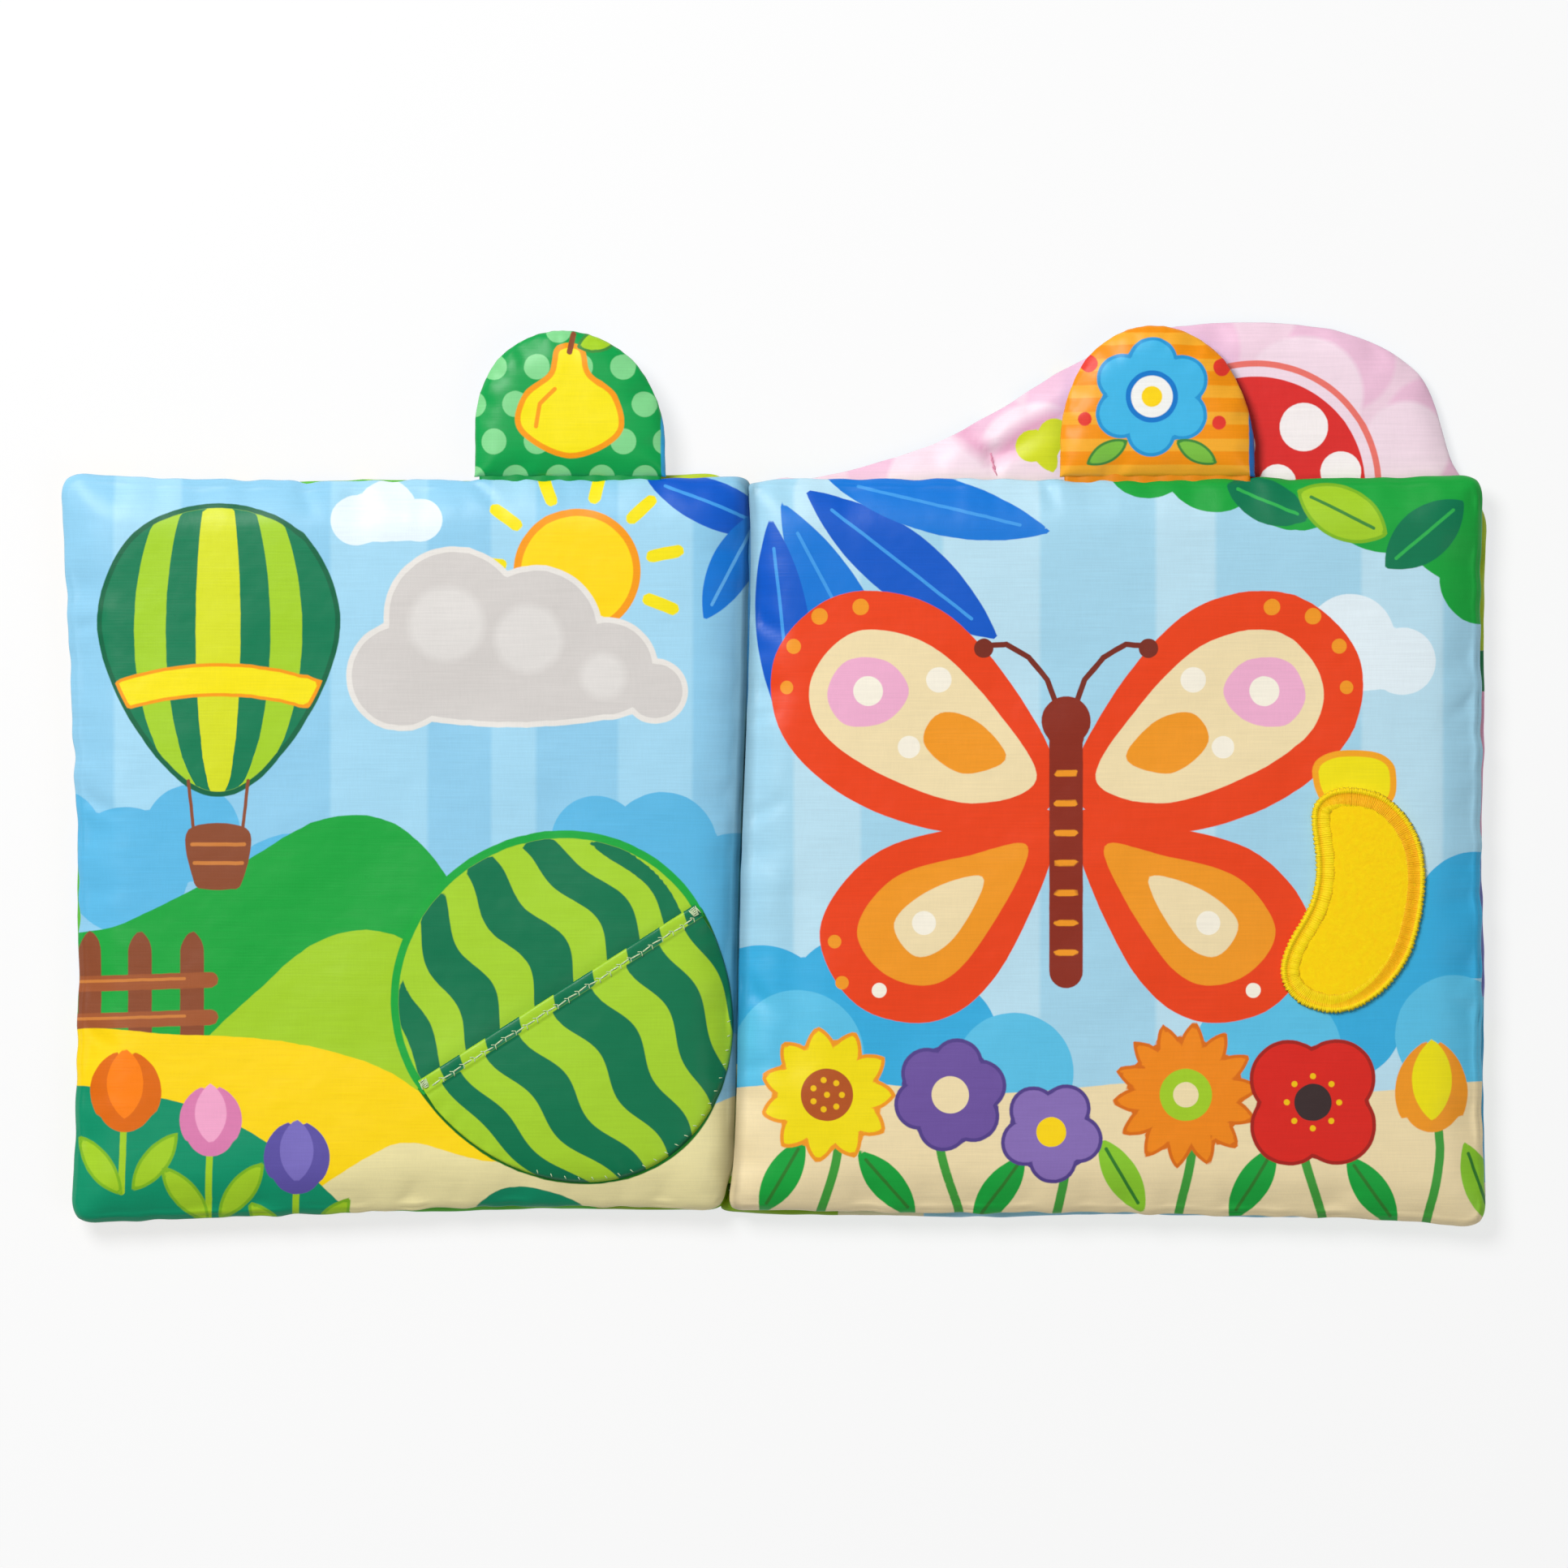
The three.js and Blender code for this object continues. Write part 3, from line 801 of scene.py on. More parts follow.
def archedSides():
    radius = leaves["cornerRadius"]
    lowLeft, lowRight, highLeft = arch["footCorner"], (arch["outer"], -100), (4, 100)
    over = smoothLine([(out * arch["outer"], 100 + up * arch["height"]) for out, up in arch["shares"]])
    side = [(arch["outer"], 80), (arch["outer"] - 0.4, 90), over[0]]
    atLeft = cornerArc((2, -84), lowLeft, lowRight, 6)
    atRight = cornerArc(lowLeft, lowRight, side[0], radius)
    atTop = cornerArc(over[-1], highLeft, lowLeft, 3)
    foot = smoothLine([atLeft[-1], (6, -98.9), (24, -99.6), (60, -99.9), atRight[0]])
    bottom = [atLeft[8:-1], gathered(foot, 0.8, 0.15), atRight[1:9]]
    right = [atRight[8:-1], gathered([atRight[-1], side[0]], 0.8, 0.15), smoothLine(side)[1:], over[1:11]]
    top = [gathered(over[10:], 0, 0, 0.3), atTop[1:9]]
    inner = smoothLine([atTop[-1], *arch["foot"], atLeft[0]])
    left = [atTop[8:-1], gathered(inner, 0, 0, 0.2), atLeft[1:9]]
    return [np.concatenate(parts) for parts in (bottom, right, top, left)]


backCover = makePad(
    "backCover",
    archedSides(),
    {
        **coverSize,
        "step": 3.0,
        "creases": [
            (67, 105, 82, 114, 1.1, 2.6), (66.7, 106, 67.8, 97, 0.8, 1.4), (66.3, 105, 58, 113, 0.6, 2.4),
            (66, 109, 74, 120, -0.3, 2.4), (71, 102, 86, 109, -0.3, 2.4),
        ],
    },
)
standsFor(backCover, "back_cover", ["back_cover_face_cloth", "back_cover_back_cloth"])

print("pages")
tabs = {
    "left": {"middle": -46.9, "width": 51.9, "height": 40, "straight": 11, "lean": -2},
    "right": {"middle": 110.6, "width": 52.9, "height": 41.4, "straight": 8, "lean": -1},
    "base": 99.3,
    "hinge": 100.1,
}
gutter = {
    "line": [(-2.7, -84), (-1.9, -66), (-1.0, -15), (0.2, 20), (1.2, 45), (1.9, 80)],
    "apart": -0.8,
    "leftRoll": 8,
    "rightRoll": 9,
    "leftFall": 1.9,
    "rightFall": 1.0,
    "leftShade": (0.7, 6),  # how dark the shade painted on the cloth in the fold is, and over how many millimetres
    "rightShade": (0.35, 2.2),
}


def rollNear(reach, roll):
    # the roll of a leaf's edge, other than usual along the gutter
    def at(flat):
        share = unit(1 - (np.abs(flat[:, 0]) - 8) / reach)
        return leaves["roll"] + (roll - leaves["roll"]) * share

    return at


def fallNear(reach, depth):
    # how far a leaf goes down towards the spine it is sewn to
    def at(flat):
        return -depth * eased(unit(1 - np.abs(flat[:, 0]) / reach))

    return at


def shadeNear(dark, reach):
    # the shade that the cloth beside the gutter always lies in
    x, y = zip(*gutter["line"])

    def at(flat):
        away = np.abs(flat[:, 0] - np.interp(flat[:, 1], y, x))
        return dark * unit(1 - away / reach) ** 1.3

    return at


def drooping(outer, tab, fall):
    # the outer edges of a page hang down a little over the rounded edge of its cover, but for its tab
    def at(flat):
        x, y = flat.T
        near = np.minimum.reduce([np.abs(x - outer), y + 100, 100 - y])
        share = unit(1 - near / leaves["droopReach"])
        held = unit((tab["width"] / 2 + 9 - np.abs(x - tab["middle"])) / 9) * (y > 0)
        return fall(flat) - leaves["droop"] * share**1.5 * (1 - held)

    return at


leftCorners = [(-180.8, -101), (-5.0, -97.4), (2.2, 100), (-183.8, 100.8)]
leftBends = {
    0: [(-140, -100.2), (-95, -98.5), (-55, -97.1), (-25, -97.1)],
    2: [(-20, 99.9), (-70, 99.9), (-100, 99.8), (-125, 99.7), (-152, 99.9)],
    3: [(-183, 70), (-181.9, 40), (-180.3, 5), (-180, -40), (-180.4, -72)],
}
leftPage = makePad(
    "leftPage",
    fourSides(
        leftCorners, (7, 7, 5.5, 7), 0.0, 0.4, 0.7,
        spine=(1, gutter["line"]), notches={2: (0.41, 0.66)}, bent=leftBends,
    ),
    {
        **pageSize,
        "roll": rollNear(10, gutter["leftRoll"]),
        "sag": drooping(-180, tabs["left"], fallNear(10, gutter["leftFall"])),
        "paintedShade": shadeNear(*gutter["leftShade"]),
        "creases": [
            (-73, 99, -63, 88, 1.0, 1.6), (-119, 99, -116, 88, 0.8, 1.7), (-178, 14, -166, 8, 0.9, 1.9),
            (-180, 58, -171, 62, 0.7, 1.8), (-178, -48, -168, -54, 0.9, 1.9), (-92, -99, -88, -89, 0.8, 2.0),
        ],
    },
)
standsFor(leftPage, "left_page", ["left_page_face_cloth", "left_page_back_cloth"])

rightCorners = [(-4.6, -97.4), (199, -102), (198.2, 100.4), (0.6, 98.2)]
rightBends = {
    0: [(40, -98.7), (90, -99.2), (140, -99.8), (174, -100.8)],
    1: [(198.6, -60), (198.9, 0), (198.4, 50)],
    2: [(160, 100.2), (100, 100), (40, 100), (16, 99.8), (8, 99.4)],
}
rightInner = [(x + gutter["apart"], y) for x, y in gutter["line"][::-1]]
rightPage = makePad(
    "rightPage",
    fourSides(
        rightCorners, (4, 7, 7, 2.2), 0.3, 0.5, 0.7,
        spine=(3, rightInner), notches={2: (0.6, 0.24)}, bent=rightBends,
    ),
    {
        **pageSize,
        "roll": rollNear(16, gutter["rightRoll"]),
        "paintedShade": shadeNear(*gutter["rightShade"]),
        "sag": drooping(198, tabs["right"], fallNear(11, gutter["rightFall"])),
        "creases": [
            # two wide ones where the pocket lies in the closed book
            (12.4, -57, 13, -10, 1.1, 6), (13.4, -13, 12.6, -52, 0.8, 6),
            (80, 99, 84, 90, 0.9, 1.6), (2, 62, 12, 56, 1.1, 2.0), (1.5, 34, 9, 38, 0.9, 1.7),
            (1, 8, 12, 14, 1.1, 2.2), (-1, -36, 10, -46, 1.1, 2.2), (-1.5, -60, 7, -57, 0.8, 1.6),
            (197, 40, 187, 34, 0.9, 2.0), (198, -46, 188, -40, 0.9, 2.0), (60, -99, 64, -90, 0.8, 2.0),
            (132, -99, 127, -88, 0.8, 2.2),
        ],
    },
)
standsFor(rightPage, "right_page", ["right_page_face_cloth", "right_page_back_cloth"])

print("grab tabs")


def tabSides(tab):
    middle, half, base = tab["middle"], tab["width"] / 2, tabs["base"]
    angle = np.linspace(0, math.pi, 121)
    over = np.column_stack([
        middle + tab["lean"] * np.sin(angle) + half * np.cos(angle),
        base + tab["straight"] + (tab["height"] - tab["straight"]) * np.sin(angle),
    ])
    bottom = [(middle - half, base), (middle + half, base)]
    right = np.concatenate([[bottom[1]], over[:31]])
    left = np.concatenate([over[-31:], [bottom[0]]])
    sides = [np.array(bottom), right, over[30:91], left]
    return [sides[0], *(gathered(s, 0, 0, 0.25) for s in sides[1:])]


tabSize = {
    "thickness": 5,
    "seam": 0.9,
    "roll": 9,
    "exponent": 1.7,
    "pucker": 0.6,
    "uneven": 0.2,
    "step": 1.5,
    "edge": (0.5, 1.4, 2.6, 4.2),
    "cap": 1.0,
    "middle": leaves["pageMiddle"],
    "levels": (7.4, 13.2),
}
leftTab = makePad("leftTab", tabSides(tabs["left"]), tabSize)
standsFor(leftTab, "left_tab", ["left_tab_face_cloth", "left_tab_back_cloth"])
rightTab = makePad("rightTab", tabSides(tabs["right"]), tabSize)
standsFor(rightTab, "right_tab", ["right_tab_face_cloth", "right_tab_back_cloth"])

# The fruit pocket: a half ellipse of cloth on the left page, open along its straight side

pocket = {
    "mouth": (-50.5, -38.7),
    "halfWidth": 44.6,
    "depth": 53.2,
    "printedDepth": 42.4,  # the printed half above the mouth
    "turn": math.radians(32.5),
    "gape": 3.2,
    "hemWidth": 4.4,
    "hemRise": 0.55,
    "cloth": 0.7,
    "stripeTurn": 0.53,  # radians round the fruit from one dark stripe to the next
    "stitchFromMouth": 3.0,
    "stitchDent": 0.28,
    "ripple": 0.12,
    "pull": 0.22,  # height of the small folds that the rim's seam pulls
    "lift": 0.12,  # over the page
}


def melonStripes(across, along, shift=0.0):
    # dark stripes that run over the fruit like lines of longitude, negative inside
    reach = 1.28 * np.where(along > 0, pocket["depth"], pocket["printedDepth"])
    round_ = np.sqrt(np.clip(1 - (along / reach) ** 2, 0.02, 1))
    width = pocket["halfWidth"] * round_
    angle = np.arcsin(np.clip((across - shift) / width, -0.999, 0.999))
    bend = 0.62 * np.sin(along / 4.7 + 0.6) + 0.3 * np.sin(along / 9.5 + 0.4)
    phase = 2 * math.pi * (angle - 0.07) / pocket["stripeTurn"] + bend
    slope = 2 * math.pi / pocket["stripeTurn"] / np.maximum(width * np.cos(angle), 6)
    return (-np.cos(phase) - 0.08) / slope + 12 * np.maximum(np.abs(across - shift) / width - 0.93, 0)


def melonAxes(points):
    rel = points - pocket["mouth"]
    c, s = math.cos(pocket["turn"]), math.sin(pocket["turn"])
    return rel[:, 0] * c + rel[:, 1] * s, rel[:, 0] * s - rel[:, 1] * c


def surfaceOf(piece):
    # heights of the piece's upper face, in millimetres
    tree = BVHTree.FromObject(piece, bpy.context.evaluated_depsgraph_get())

    def heights(flat):
        found = []
        for x, y in flat:
            hit = tree.ray_cast((x * mm, y * mm, 0.05), (0, 0, -1))[0]
            found.append(hit.z / mm if hit else np.nan)
        found = np.array(found)
        return np.where(np.isnan(found), np.nanmedian(found) - 1.5, found)

    return heights


def solidify(piece, thickness, offset=-1.0):
    wall = piece.modifiers.new("Wall", "SOLIDIFY")
    wall.thickness, wall.offset = thickness * mm, offset
    wall.use_even_offset = True
    apply(piece, "Wall")
    shadeSmooth(piece)


def gridFaces(columns, rows):
    return quads(np.arange(columns * rows).reshape(columns, rows))


def pocketHeight(across, down, page):
    width, depth = pocket["halfWidth"], pocket["depth"]
    reach = depth * np.sqrt(np.clip(1 - (across / width) ** 2, 1e-4, 1))
    share = unit(down / reach)
    middle = 1 - (across / width) ** 2
    rim = np.minimum((1 - share) * reach, (1 - np.abs(across) / width) * width * 1.2)
    bulge = pocket["gape"] * middle * (1 - share**3)
    full = pocket["cloth"] * puffed(rim / 1.4, 2) * puffed((down + 0.25) / 0.9, 2)
    hem = pocket["hemRise"] * unit((pocket["hemWidth"] - down) / 0.7)
    dent = pocket["stitchDent"] * bell(down - pocket["stitchFromMouth"], 0.8)
    ripples = np.sin(across / 1.7 + 0.6 * np.sin(across / 5)) * np.exp(-down / 5) * pocket["ripple"]
    angle = np.arctan2(down, across)
    pulls = pocket["pull"] * np.sin(angle * 46 + 2 * np.sin(angle * 7)) * np.exp(-rim / 3.5)
    relief = (hem - dent) * unit(rim / 2) + ripples + pulls * puffed(rim / 1.5, 2)
    return page + pocket["lift"] + bulge + full + relief


def pocketFlat(across, down):
    c, s = math.cos(pocket["turn"]), math.sin(pocket["turn"])
    x = pocket["mouth"][0] + across * c + down * s
    return np.stack([x, pocket["mouth"][1] + across * s - down * c], -1)


print("pocket")
leftPageHeight = surfaceOf(leftPage)


def makePocket():
    columns, rows = 121, 56
    across = pocket["halfWidth"] * 0.985 * np.sin(np.linspace(-math.pi / 2, math.pi / 2, columns))[:, None]
    reach = pocket["depth"] * np.sqrt(1 - (across / pocket["halfWidth"]) ** 2)
    near = np.minimum(6.0, reach * 0.6)
    first = np.linspace(0, 1, 16)[None, :]
    rest = np.linspace(0, 1, rows - 15)[None, 1:] ** 0.8
    down = np.concatenate([near * first, near + (reach - near) * rest], axis=1)
    across = np.broadcast_to(across, down.shape)
    across, down = across.ravel(), down.ravel()
    flat = pocketFlat(across, down)
    height = pocketHeight(across, down, leftPageHeight(flat))
    piece = newPiece("fruitPocket", np.column_stack([flat, height]) * mm, gridFaces(columns, rows)[:, ::-1])
    store(piece, "flatX", flat[:, 0])
    store(piece, "flatY", flat[:, 1])
    solidify(piece, pocket["cloth"])
    return piece


fruitPocket = makePocket()
standsFor(fruitPocket, "left_page", ["fruit_pocket"])

print("stitches")
thread = {
    "hem": 3.3,  # from one long stitch to the next
    "spine": (-89.6, 93.1, 3.4),  # first, last, from one to the next
    "lie": 0.12,  # how high a stitch lies on the cloth
    "ticks": 36,
    "tackBars": 7,
    "tackCrosses": 5,
    "archBars": 9,
    "models": {"long": (3.432, 0.42), "tick": (1.5, 0.26), "bar": (2.7, 0.36), "cross": (1.5, 0.34)},
}


def modelStitch(length, thick):
    # one stitch along X, with its ends going down into the cloth
    size = {"vertices": 8, "radius": thick / 2 * mm, "depth": length * mm}
    bpy.ops.mesh.primitive_cylinder_add(**size, rotation=(0, math.pi / 2, 0))
    stitch = bpy.context.object
    bpy.ops.object.transform_apply(location=False, rotation=True, scale=False)
    bpy.ops.object.mode_set(mode="EDIT")
    for share in (-0.4, -0.25, 0.0, 0.25, 0.4):
        bpy.ops.mesh.select_all(action="SELECT")
        bpy.ops.mesh.bisect(plane_co=(share * length * mm, 0, 0), plane_no=(1, 0, 0))
    bpy.ops.object.mode_set(mode="OBJECT")
    points = places(stitch)
    share = np.abs(points[:, 0]) / (length / 2 * mm)
    points[:, 1:] *= (1 - 0.55 * share[:, None] ** 4)
    points[:, 2] -= thick * mm * 1.3 * share**3
    setPlaces(stitch, points)
    bpy.ops.object.shade_smooth()
    return stitch


def sewn(name, spots):
    # copies of the modelled stitches, each at x, y, z with its turn, joined to one piece
    copies = []
    for model, (x, y, z, turn) in spots:
        copy = bpy.data.objects.new(name, stitchModels[model].data.copy())
        scene.collection.objects.link(copy)
        copy.data.transform(Matrix.Translation((x * mm, y * mm, z * mm)) @ Matrix.Rotation(turn, 4, "Z"))
        copies.append(copy)
    select(copies[0])
    for copy in copies:
        copy.select_set(True)
    bpy.ops.object.join()
    copies[0].name = name
    return copies[0]


stitchModels = {name: modelStitch(*size) for name, size in thread["models"].items()}
pocketSurface = surfaceOf(fruitPocket)


def onPocket(across, down, lift=thread["lie"]):
    # a place on the pocket, with its height
    flat = pocketFlat(np.array([float(across)]), np.array([float(down)]))
    return (*flat[0], pocketSurface(flat)[0] + lift)


def hemStitches():
    reach = pocket["halfWidth"] - 3.2
    spots = []
    count = round(2 * reach / thread["hem"])
    for number in range(count):
        across = -reach + (number + 0.5) * 2 * reach / count
        down = pocket["stitchFromMouth"] + 0.16 * math.sin(number * 1.7)
        lean = 0.07 * (-1) ** number + 0.03 * math.sin(number * 2.3)
        spots.append(("long", (*onPocket(across, down), pocket["turn"] + lean)))
        joint = across + reach / count
        for side in (-1, 1):
            spot = onPocket(joint + 0.15 * side, down + 0.42 * side)
            spots.append(("tick", (*spot, pocket["turn"] + side * 0.9 + 0.35)))
    for number in range(thread["ticks"]):
        angle = math.pi * (0.04 + 0.92 * (number + 0.5) / thread["ticks"])
        across = 0.972 * pocket["halfWidth"] * math.cos(angle)
        down = 0.975 * pocket["depth"] * math.sin(angle)
        if 0.2 < angle / math.pi < 0.75:
            spots.append(("tick", (*onPocket(across, down, 0.02), pocket["turn"] - angle + 0.5)))
    return spots


def tackStitches(side):
    spots = []
    for number in range(thread["tackBars"]):
        across = side * (pocket["halfWidth"] - 1.7) + 0.32 * (number - 3)
        spot = onPocket(across, 1.5 + 0.1 * math.sin(number * 3))
        lean = 0.22 * math.sin(number * 2.1 + side)
        spots.append(("bar", (*spot, pocket["turn"] + math.pi / 2 + lean)))
    for number in range(thread["tackCrosses"]):
        spot = onPocket(side * (pocket["halfWidth"] - 1.8), 0.6 + 0.5 * number, 0.32)
        spots.append(("cross", (*spot, pocket["turn"] + 0.3 * math.sin(number))))
    return spots


hemThread = sewn("hemThread", hemStitches())
standsFor(hemThread, "left_page", ["pocket_hem_thread"])
tackLeft = sewn("tackLeft", tackStitches(-1))
standsFor(tackLeft, "left_page", ["pocket_bar_tack_left"])
tackRight = sewn("tackRight", tackStitches(1))
standsFor(tackRight, "left_page", ["pocket_bar_tack_right"])

archSurface = surfaceOf(backCover)
archSpots = []
for number in range(thread["archBars"]):
    x = arch["tuck"][0] + 0.14 * (number - 4) + 0.2 * math.sin(number * 2.4)
    y = arch["tuck"][1] + 2.2 - 0.62 * number
    height = archSurface(np.array([(x, y)]))[0] + thread["lie"]
    turn = math.pi / 2 + 0.25 + 0.3 * math.sin(number * 1.9)
    archSpots.append(("bar" if number % 3 else "cross", (x, y, height, turn)))
archTack = sewn("archTack", archSpots)
standsFor(archTack, "back_cover", ["cover_bar_tack"])

# The banana: a plush patch sewn on with a wide satin border

banana = {
    "centre": (162.7, -14.0),
    "width": 39.0,
    "height": 60.6,
    "outline": [
        (-0.01, 0.5), (-0.19, 0.475), (-0.285, 0.39), (-0.25, 0.16), (-0.29, -0.01), (-0.46, -0.21),
        (-0.492, -0.35), (-0.37, -0.455), (-0.128, -0.5), (0.1, -0.455), (0.3, -0.34), (0.43, -0.18),
        (0.5, 0.09), (0.44, 0.3), (0.24, 0.455),
    ],
    "corners": (2, 6, 9, 13),  # points of the outline where the felt's four sides meet
    "felt": 1.6,
    "feltInset": 1.9,
    "feltHeight": 0.45,  # its middle, over the page
    "jagged": (0.13, 0.1),  # how uneven the stitches end, in waves and one by one
    "ribbed": 0.05,
    "border": [
        # millimetres in from the outline, and height over the page
        (-0.05, -0.5), (0.0, 0.2), (0.12, 0.85), (0.4, 1.4), (0.8, 1.62), (1.2, 1.5), (1.55, 1.12),
        (1.9, 1.02), (2.4, 1.06), (2.9, 1.16), (3.3, 1.3), (3.7, 1.38), (4.1, 1.4), (4.6, 1.32),
        (5.1, 1.14), (5.6, 0.75),
    ],
}

print("banana")
rightPageHeight = surfaceOf(rightPage)


def onPage(shares):
    return np.asarray(shares) * (banana["width"], banana["height"]) + banana["centre"]


bananaLine = onPage(smoothLine(banana["outline"], True, 24))
bananaLine = along(np.concatenate([bananaLine, bananaLine[:1]]), 801)[:-1]
for _ in range(200):  # a row of stitches takes no sharp bend
    bananaLine = (np.roll(bananaLine, 1, 0) + 2 * bananaLine + np.roll(bananaLine, -1, 0)) / 4


def inwardOf(line):
    # the normal of a closed line that points inwards
    return leftOf(np.roll(line, -3, axis=0) - np.roll(line, 3, axis=0))


feltSize = {
    "thickness": banana["felt"],
    "seam": 0.35,
    "roll": 6,
    "pucker": 0.04,
    "uneven": 0.12,
    "step": 1.4,
    "edge": (0.5, 1.4),
    "fill": 0.3,
    "inflated": False,
    "middle": 14.4,
    "levels": (12.2, 16.4),
}


def makeBananaFelt():
    inner = bananaLine + inwardOf(bananaLine) * banana["feltInset"]
    marks = onPage([banana["outline"][i] for i in banana["corners"]])
    at = [int(np.hypot(*(inner - mark).T).argmin()) for mark in marks]
    twice = np.concatenate([inner, inner])
    parts = [twice[a : (b if b > a else b + len(inner)) + 1] for a, b in zip(at, at[1:] + at[:1])]

    def sag(flat):
        return rightPageHeight(flat) + banana["feltHeight"] - feltSize["middle"]

    return makePad("bananaFelt", parts[1:] + parts[:1], {**feltSize, "sag": sag})


def makeBananaBorder():
    columns, profile = len(bananaLine), banana["border"]
    inwards = inwardOf(bananaLine)
    run = np.arange(columns) * np.hypot(*(bananaLine[1] - bananaLine[0]))
    wavy, single = banana["jagged"]
    jagged = wavy * np.sin(run * 5.3) + single * random.normal(size=columns)
    ribbed = banana["ribbed"] * np.sin(run * 9.1) + banana["ribbed"] * np.sin(run * 1.3)
    # 1 on the upper right, where the channel is widest
    lit = unit(0.5 + 0.9 * (-inwards @ (0.85, 0.5)))
    points = []
    for number, (inward, height) in enumerate(profile):
        rough = jagged * (1 if number < 4 else 0.4 if number > 10 else 0.0)
        flat = bananaLine + inwards * (inward + rough)[:, None]
        under = rightPageHeight(bananaLine + inwards * max(inward, 0.3))
        ridge = -0.12 * lit * bell(inward - 3.6, 1.1)
        points.append(np.column_stack([flat, under + height + ridge + ribbed * (height > 0.9)]))
    table = np.arange(columns * len(profile)).reshape(len(profile), columns)
    after = np.roll(table, -1, axis=1)
    faces = np.stack([table[:-1], after[:-1], after[1:], table[1:]], -1).reshape(-1, 4)
    piece = newPiece("bananaBorder", np.concatenate(points) * mm, faces)
    store(piece, "inset", np.repeat([inward for inward, height in profile], columns))
    store(piece, "run", np.tile(run, len(profile)))
    store(piece, "bare", np.tile(lit, len(profile)))
    solidify(piece, 0.45)
    return piece


bananaFelt = makeBananaFelt()
standsFor(bananaFelt, "right_page", ["banana_patch"])
bananaBorder = makeBananaBorder()
standsFor(bananaBorder, "right_page", ["banana_satin_border"])

# Cloth bands: the spine, the gutter and the roots of the tabs

bands = {
    "outerSpine": [(-4.4, 3.2), (-3.5, 1.2), (-2.4, 0.62), (0, 0.5), (2.4, 0.62), (3.5, 1.2), (4.4, 3.2)],
    "innerSpine": [(-4.6, 3.7), (-3.7, 2.5), (-2.4, 1.85), (0, 1.6), (2.4, 1.85), (3.7, 2.5), (4.6, 3.7)],
    "leftGutter": [
        (-5.6, 8.3), (-4.2, 8.3), (-2.2, 8.3), (-0.8, 7.7), (-0.55, 5.6), (-0.6, 3.4), (-2.4, 2.6),
    ],
    "rightGutter": [(2.2, 2.7), (0.6, 3.4), (0.55, 6.0), (0.7, 8.3), (1.8, 8.9), (3.6, 8.7), (5.0, 8.5)],
    "spineEnds": (-92, 96),  # the foot is shorter, where the back cover runs under it
    "gutterEnds": (-90, 95),
    "thick": 0.7,
    # how dark the shade painted over the whole of every band is, as they lie deep in the spine and gutter
    "shade": 0.5,
    "tabRoot": 10.4,
}


def makeBand(name, ends, *restsOn):
    # a strip of cloth along Y with a section through the band's points
    columns, rows = 41, 65
    section = along(smoothLine(bands[name], False, 12), columns)
    y = np.linspace(*ends, rows)
    ripple = 0.12 * np.sin(y * 0.5 + 0.8 * np.sin(y * 0.11))
    points = np.zeros((columns, rows, 3))
    points[:, :, 0] = section[:, 0, None] + ripple * 0.6
    points[:, :, 1] = y
    points[:, :, 2] = section[:, 1, None] + ripple * np.sin(np.linspace(0, math.pi, columns))[:, None]
    band = newPiece(name, points.reshape(-1, 3) * mm, gridFaces(columns, rows))
    store(band, "flatX", points[:, :, 0].ravel())
    store(band, "flatY", points[:, :, 1].ravel())
    # painted shade over the whole band
    store(band, "paintedShade", np.full(columns * rows, bands["shade"]))
    solidify(band, bands["thick"], 0.0)
    return band


def overSpine(piece):
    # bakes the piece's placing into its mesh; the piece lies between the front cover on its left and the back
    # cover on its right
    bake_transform(piece)


print("bands")
outerSpine = makeBand("outerSpine", bands["spineEnds"], "frontCover", "backCover")
overSpine(outerSpine)
standsFor(outerSpine, None, ["outer_spine_cloth"])
innerSpine = makeBand("innerSpine", bands["spineEnds"], "frontCover", "backCover")
overSpine(innerSpine)
standsFor(innerSpine, None, ["inner_spine_cloth"])

spineSpots = []
for number, y in enumerate(np.arange(*thread["spine"])):
    spineSpots.append(("long", (0, y, 2.35, math.pi / 2 + 0.05 * (-1) ** number)))
spineStitches = sewn("spineStitches", spineSpots)
standsFor(spineStitches, None, ["spine_seam_thread"])
overSpine(spineStitches)

leftGutter = makeBand("leftGutter", bands["gutterEnds"], "leftPage")
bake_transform(leftGutter)
standsFor(leftGutter)
rightGutter = makeBand("rightGutter", bands["gutterEnds"], "rightPage")
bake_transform(rightGutter)
standsFor(rightGutter)


def makeTabRoot(name, tab):
    # the band of the tab's cloth that is caught in the page's seam
    columns, rows, deep = 49, 21, bands["tabRoot"]
    half = tab["width"] / 2 - 1.6
    across = np.linspace(tab["middle"] - half, tab["middle"] + half, columns)
    up = np.linspace(tabs["hinge"] - deep / 2, tabs["hinge"] + deep / 2, rows)
    x, y = (g.ravel() for g in np.meshgrid(across, up, indexing="ij"))
    z = leaves["pageMiddle"] + 0.45 + 0.15 * np.sin(x * 0.9)
    root = newPiece(name, np.column_stack([x, y, z]) * mm, gridFaces(columns, rows))
    solidify(root, 1.3)
    2 * half * mm
    edge = tabs["hinge"] * mm
    edge - 0.0005
    edge + 0.0009
    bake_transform(root)
    standsFor(root)
    return root


leftRoot = makeTabRoot("leftTabRoot", tabs["left"])
rightRoot = makeTabRoot("rightTabRoot", tabs["right"])
for model in stitchModels.values():
    bpy.data.objects.remove(model)

print("prints")


def ring(x, y, reach, count, start=0.0):
    # places round a centre, each with its direction in degrees
    angles = [start + 2 * math.pi * i / count for i in range(count)]
    return [(x + reach * math.cos(a), y + reach * math.sin(a), math.degrees(a)) for a in angles]


def petals(p, spots, length, width):
    return union(*(p.leaf(x, y, length, width, turn) for x, y, turn in spots))


def seeds(spots):
    return smallDiscs(*((x, y, 0.8) for x, y, turn in spots))


